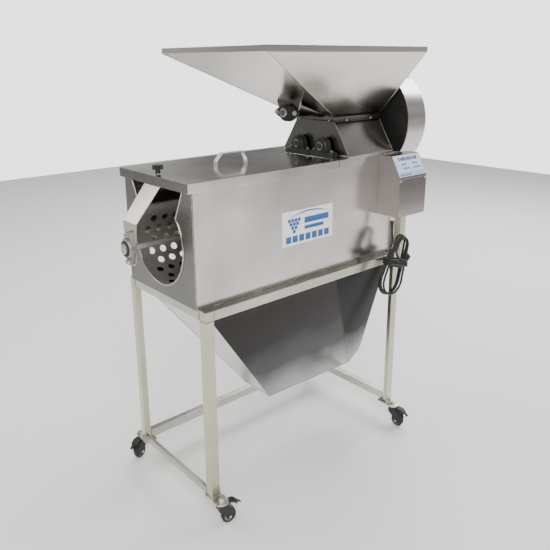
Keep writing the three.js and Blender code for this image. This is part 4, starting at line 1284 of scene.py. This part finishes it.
def make_front_label():
    """Film label with a generic blue mark: a bunch of dots, a bow and plain bars."""
    low, high = layout_box("front_label")
    build = Build()
    face = low.y + 0.3
    build.box(low.x, high.x, face, high.y, low.z, high.z)
    build.color(1)

    def disc(x, z, radius):
        build.rod("y", face - 0.28, face + 0.1, x, z, radius, 28)

    def band(points, wide):
        upper = [(x, z + w / 2) for (x, z), w in zip(points, wide)]
        lower = [(x, z - w / 2) for (x, z), w in zip(points, wide)]
        build.prism("y", upper + lower[::-1], face - 0.28, face + 0.1)

    for row in range(4):
        for i in range(4 - row):
            disc(low.x + 34 + row * 8 + i * 16, low.z + 92 - row * 13.8, 7.2)
    arc = [(low.x + 40 + 190 * t, low.z + 103 + 15 * math.sin(math.pi * t))
           for t in (i / 28 for i in range(29))]
    band(arc, [0.8 + 4.6 * math.sin(math.pi * i / 28) for i in range(29)])
    for x0, x1, z, tall in ((108, 232, 84, 22), (108, 206, 57, 13)):
        band([(low.x + x0 + (x1 - x0) * i / 8, low.z + z) for i in range(9)], [tall] * 9)
    for i in range(7):
        x = low.x + 18 + i * 32
        band([(x, low.z + 22), (x + 25, low.z + 22)], [25, 25])
    build.piece("maker_label", [FILM, BLUE], replaces="front_label", slot="label_film")


# ---- studio
FLOOR_HALF = 7
PLAIN_STRENGTH = 2.6
# Brightness of the room in the reflections, from straight down (0) to straight up (1).
ROOM = [(0.0, 0.50), (0.47, 0.50), (0.53, 0.26), (0.58, 0.30), (0.65, 0.52), (0.73, 0.06),
        (0.86, 0.16), (0.93, 1.1), (1.0, 1.8)]


def area_light(name, location, target, size, power, color=(1, 1, 1)):
    data = bpy.data.lights.new(name, "AREA")
    data.shape = "RECTANGLE"
    data.size, data.size_y = size
    data.energy = power
    data.color = color
    lamp = bpy.data.objects.new(name, data)
    bpy.context.scene.collection.objects.link(lamp)
    lamp.location = location
    aim = Vector(target) - Vector(location)
    lamp.rotation_euler = aim.to_track_quat("-Z", "Y").to_euler()


def make_floor():
    build = bmesh.new()
    bmesh.ops.create_grid(build, x_segments=8, y_segments=8, size=FLOOR_HALF)
    data = bpy.data.meshes.new("floor")
    build.to_mesh(data)
    build.free()
    nodes = Nodes("floor", (0.86, 0.86, 0.855), 0.85)
    nodes.bump(nodes.noise(30), 0.05, 0.001)
    data.materials.append(nodes.material)
    floor = bpy.data.objects.new("floor", data)
    bpy.context.scene.collection.objects.link(floor)


def make_world():
    """Pale room to the camera; a ceiling, dim walls and a pale floor to the reflections."""
    world = bpy.data.worlds.new("studio")
    world.use_nodes = True
    tree = world.node_tree
    room = tree.nodes["Background"]
    around_us = put(tree, "TexCoord", {}).outputs["Generated"]
    split = put(tree, "SeparateXYZ", {0: around_us})
    height = map_range(tree, split.outputs["Z"], (-1, 1), (0, 1))
    stops = [(place, (value, value * 0.98, value * 0.95) if 0 < place < 1 else (value,) * 3)
             for place, value in ROOM]
    clouds = put(tree, "TexNoise", {"Scale": 2.6, "Detail": 1.0, "Vector": around_us})
    lift = map_range(tree, clouds.outputs["Fac"], (0.35, 0.65), (0.35, 2.0))
    mixed = put(tree, "VectorMath", {0: color_ramp(tree, height, stops), "Scale": lift},
                operation="SCALE")
    tree.links.new(mixed.outputs["Vector"], room.inputs["Color"])
    plain = put(tree, "Background", {"Color": (1, 1, 0.995, 1), "Strength": PLAIN_STRENGTH})
    seen = put(tree, "LightPath", {}).outputs["Is Camera Ray"]
    choose = put(tree, "MixShader", {0: seen, 1: room.outputs[0], 2: plain.outputs[0]})
    tree.links.new(choose.outputs[0], tree.nodes["World Output"].inputs["Surface"])
    bpy.context.scene.world = world


# ---- the model
make_camera()
cord, cord_length = make_cord()
plug = make_plug()
make_gland()
make_frame_tubes()
make_frame_welds()
for corner in ("front_left", "front_right", "back_left", "back_right"):
    make_caster(corner)
make_body_sheets()
make_body_edges()
make_chute()
make_chute_seams()
make_knob()
make_screen()
make_bearings()
make_crusher()
make_hopper()
make_hopper_seams()
make_guard()
make_motor()
make_control_box()
make_front_label()
make_floor()
make_world()
area_light("key", (-2.6, -3.2, 3.6), (0, 0, 0.4), (2.6, 2.6), 195, (1.0, 0.985, 0.96))
area_light("fill", (4.5, -0.6, 3.4), (0, 0, 0.4), (2.2, 2.4), 135, (1.0, 0.97, 0.97))
area_light("back", (3.4, 2.8, 4.4), (0, 0, 0.4), (2.6, 2.0), 190)
area_light("outlet", (-2.2, 2.6, 3.2), (-0.5, 0, 1.0), (1.7, 1.7), 38)

bpy.context.view_layer.update()
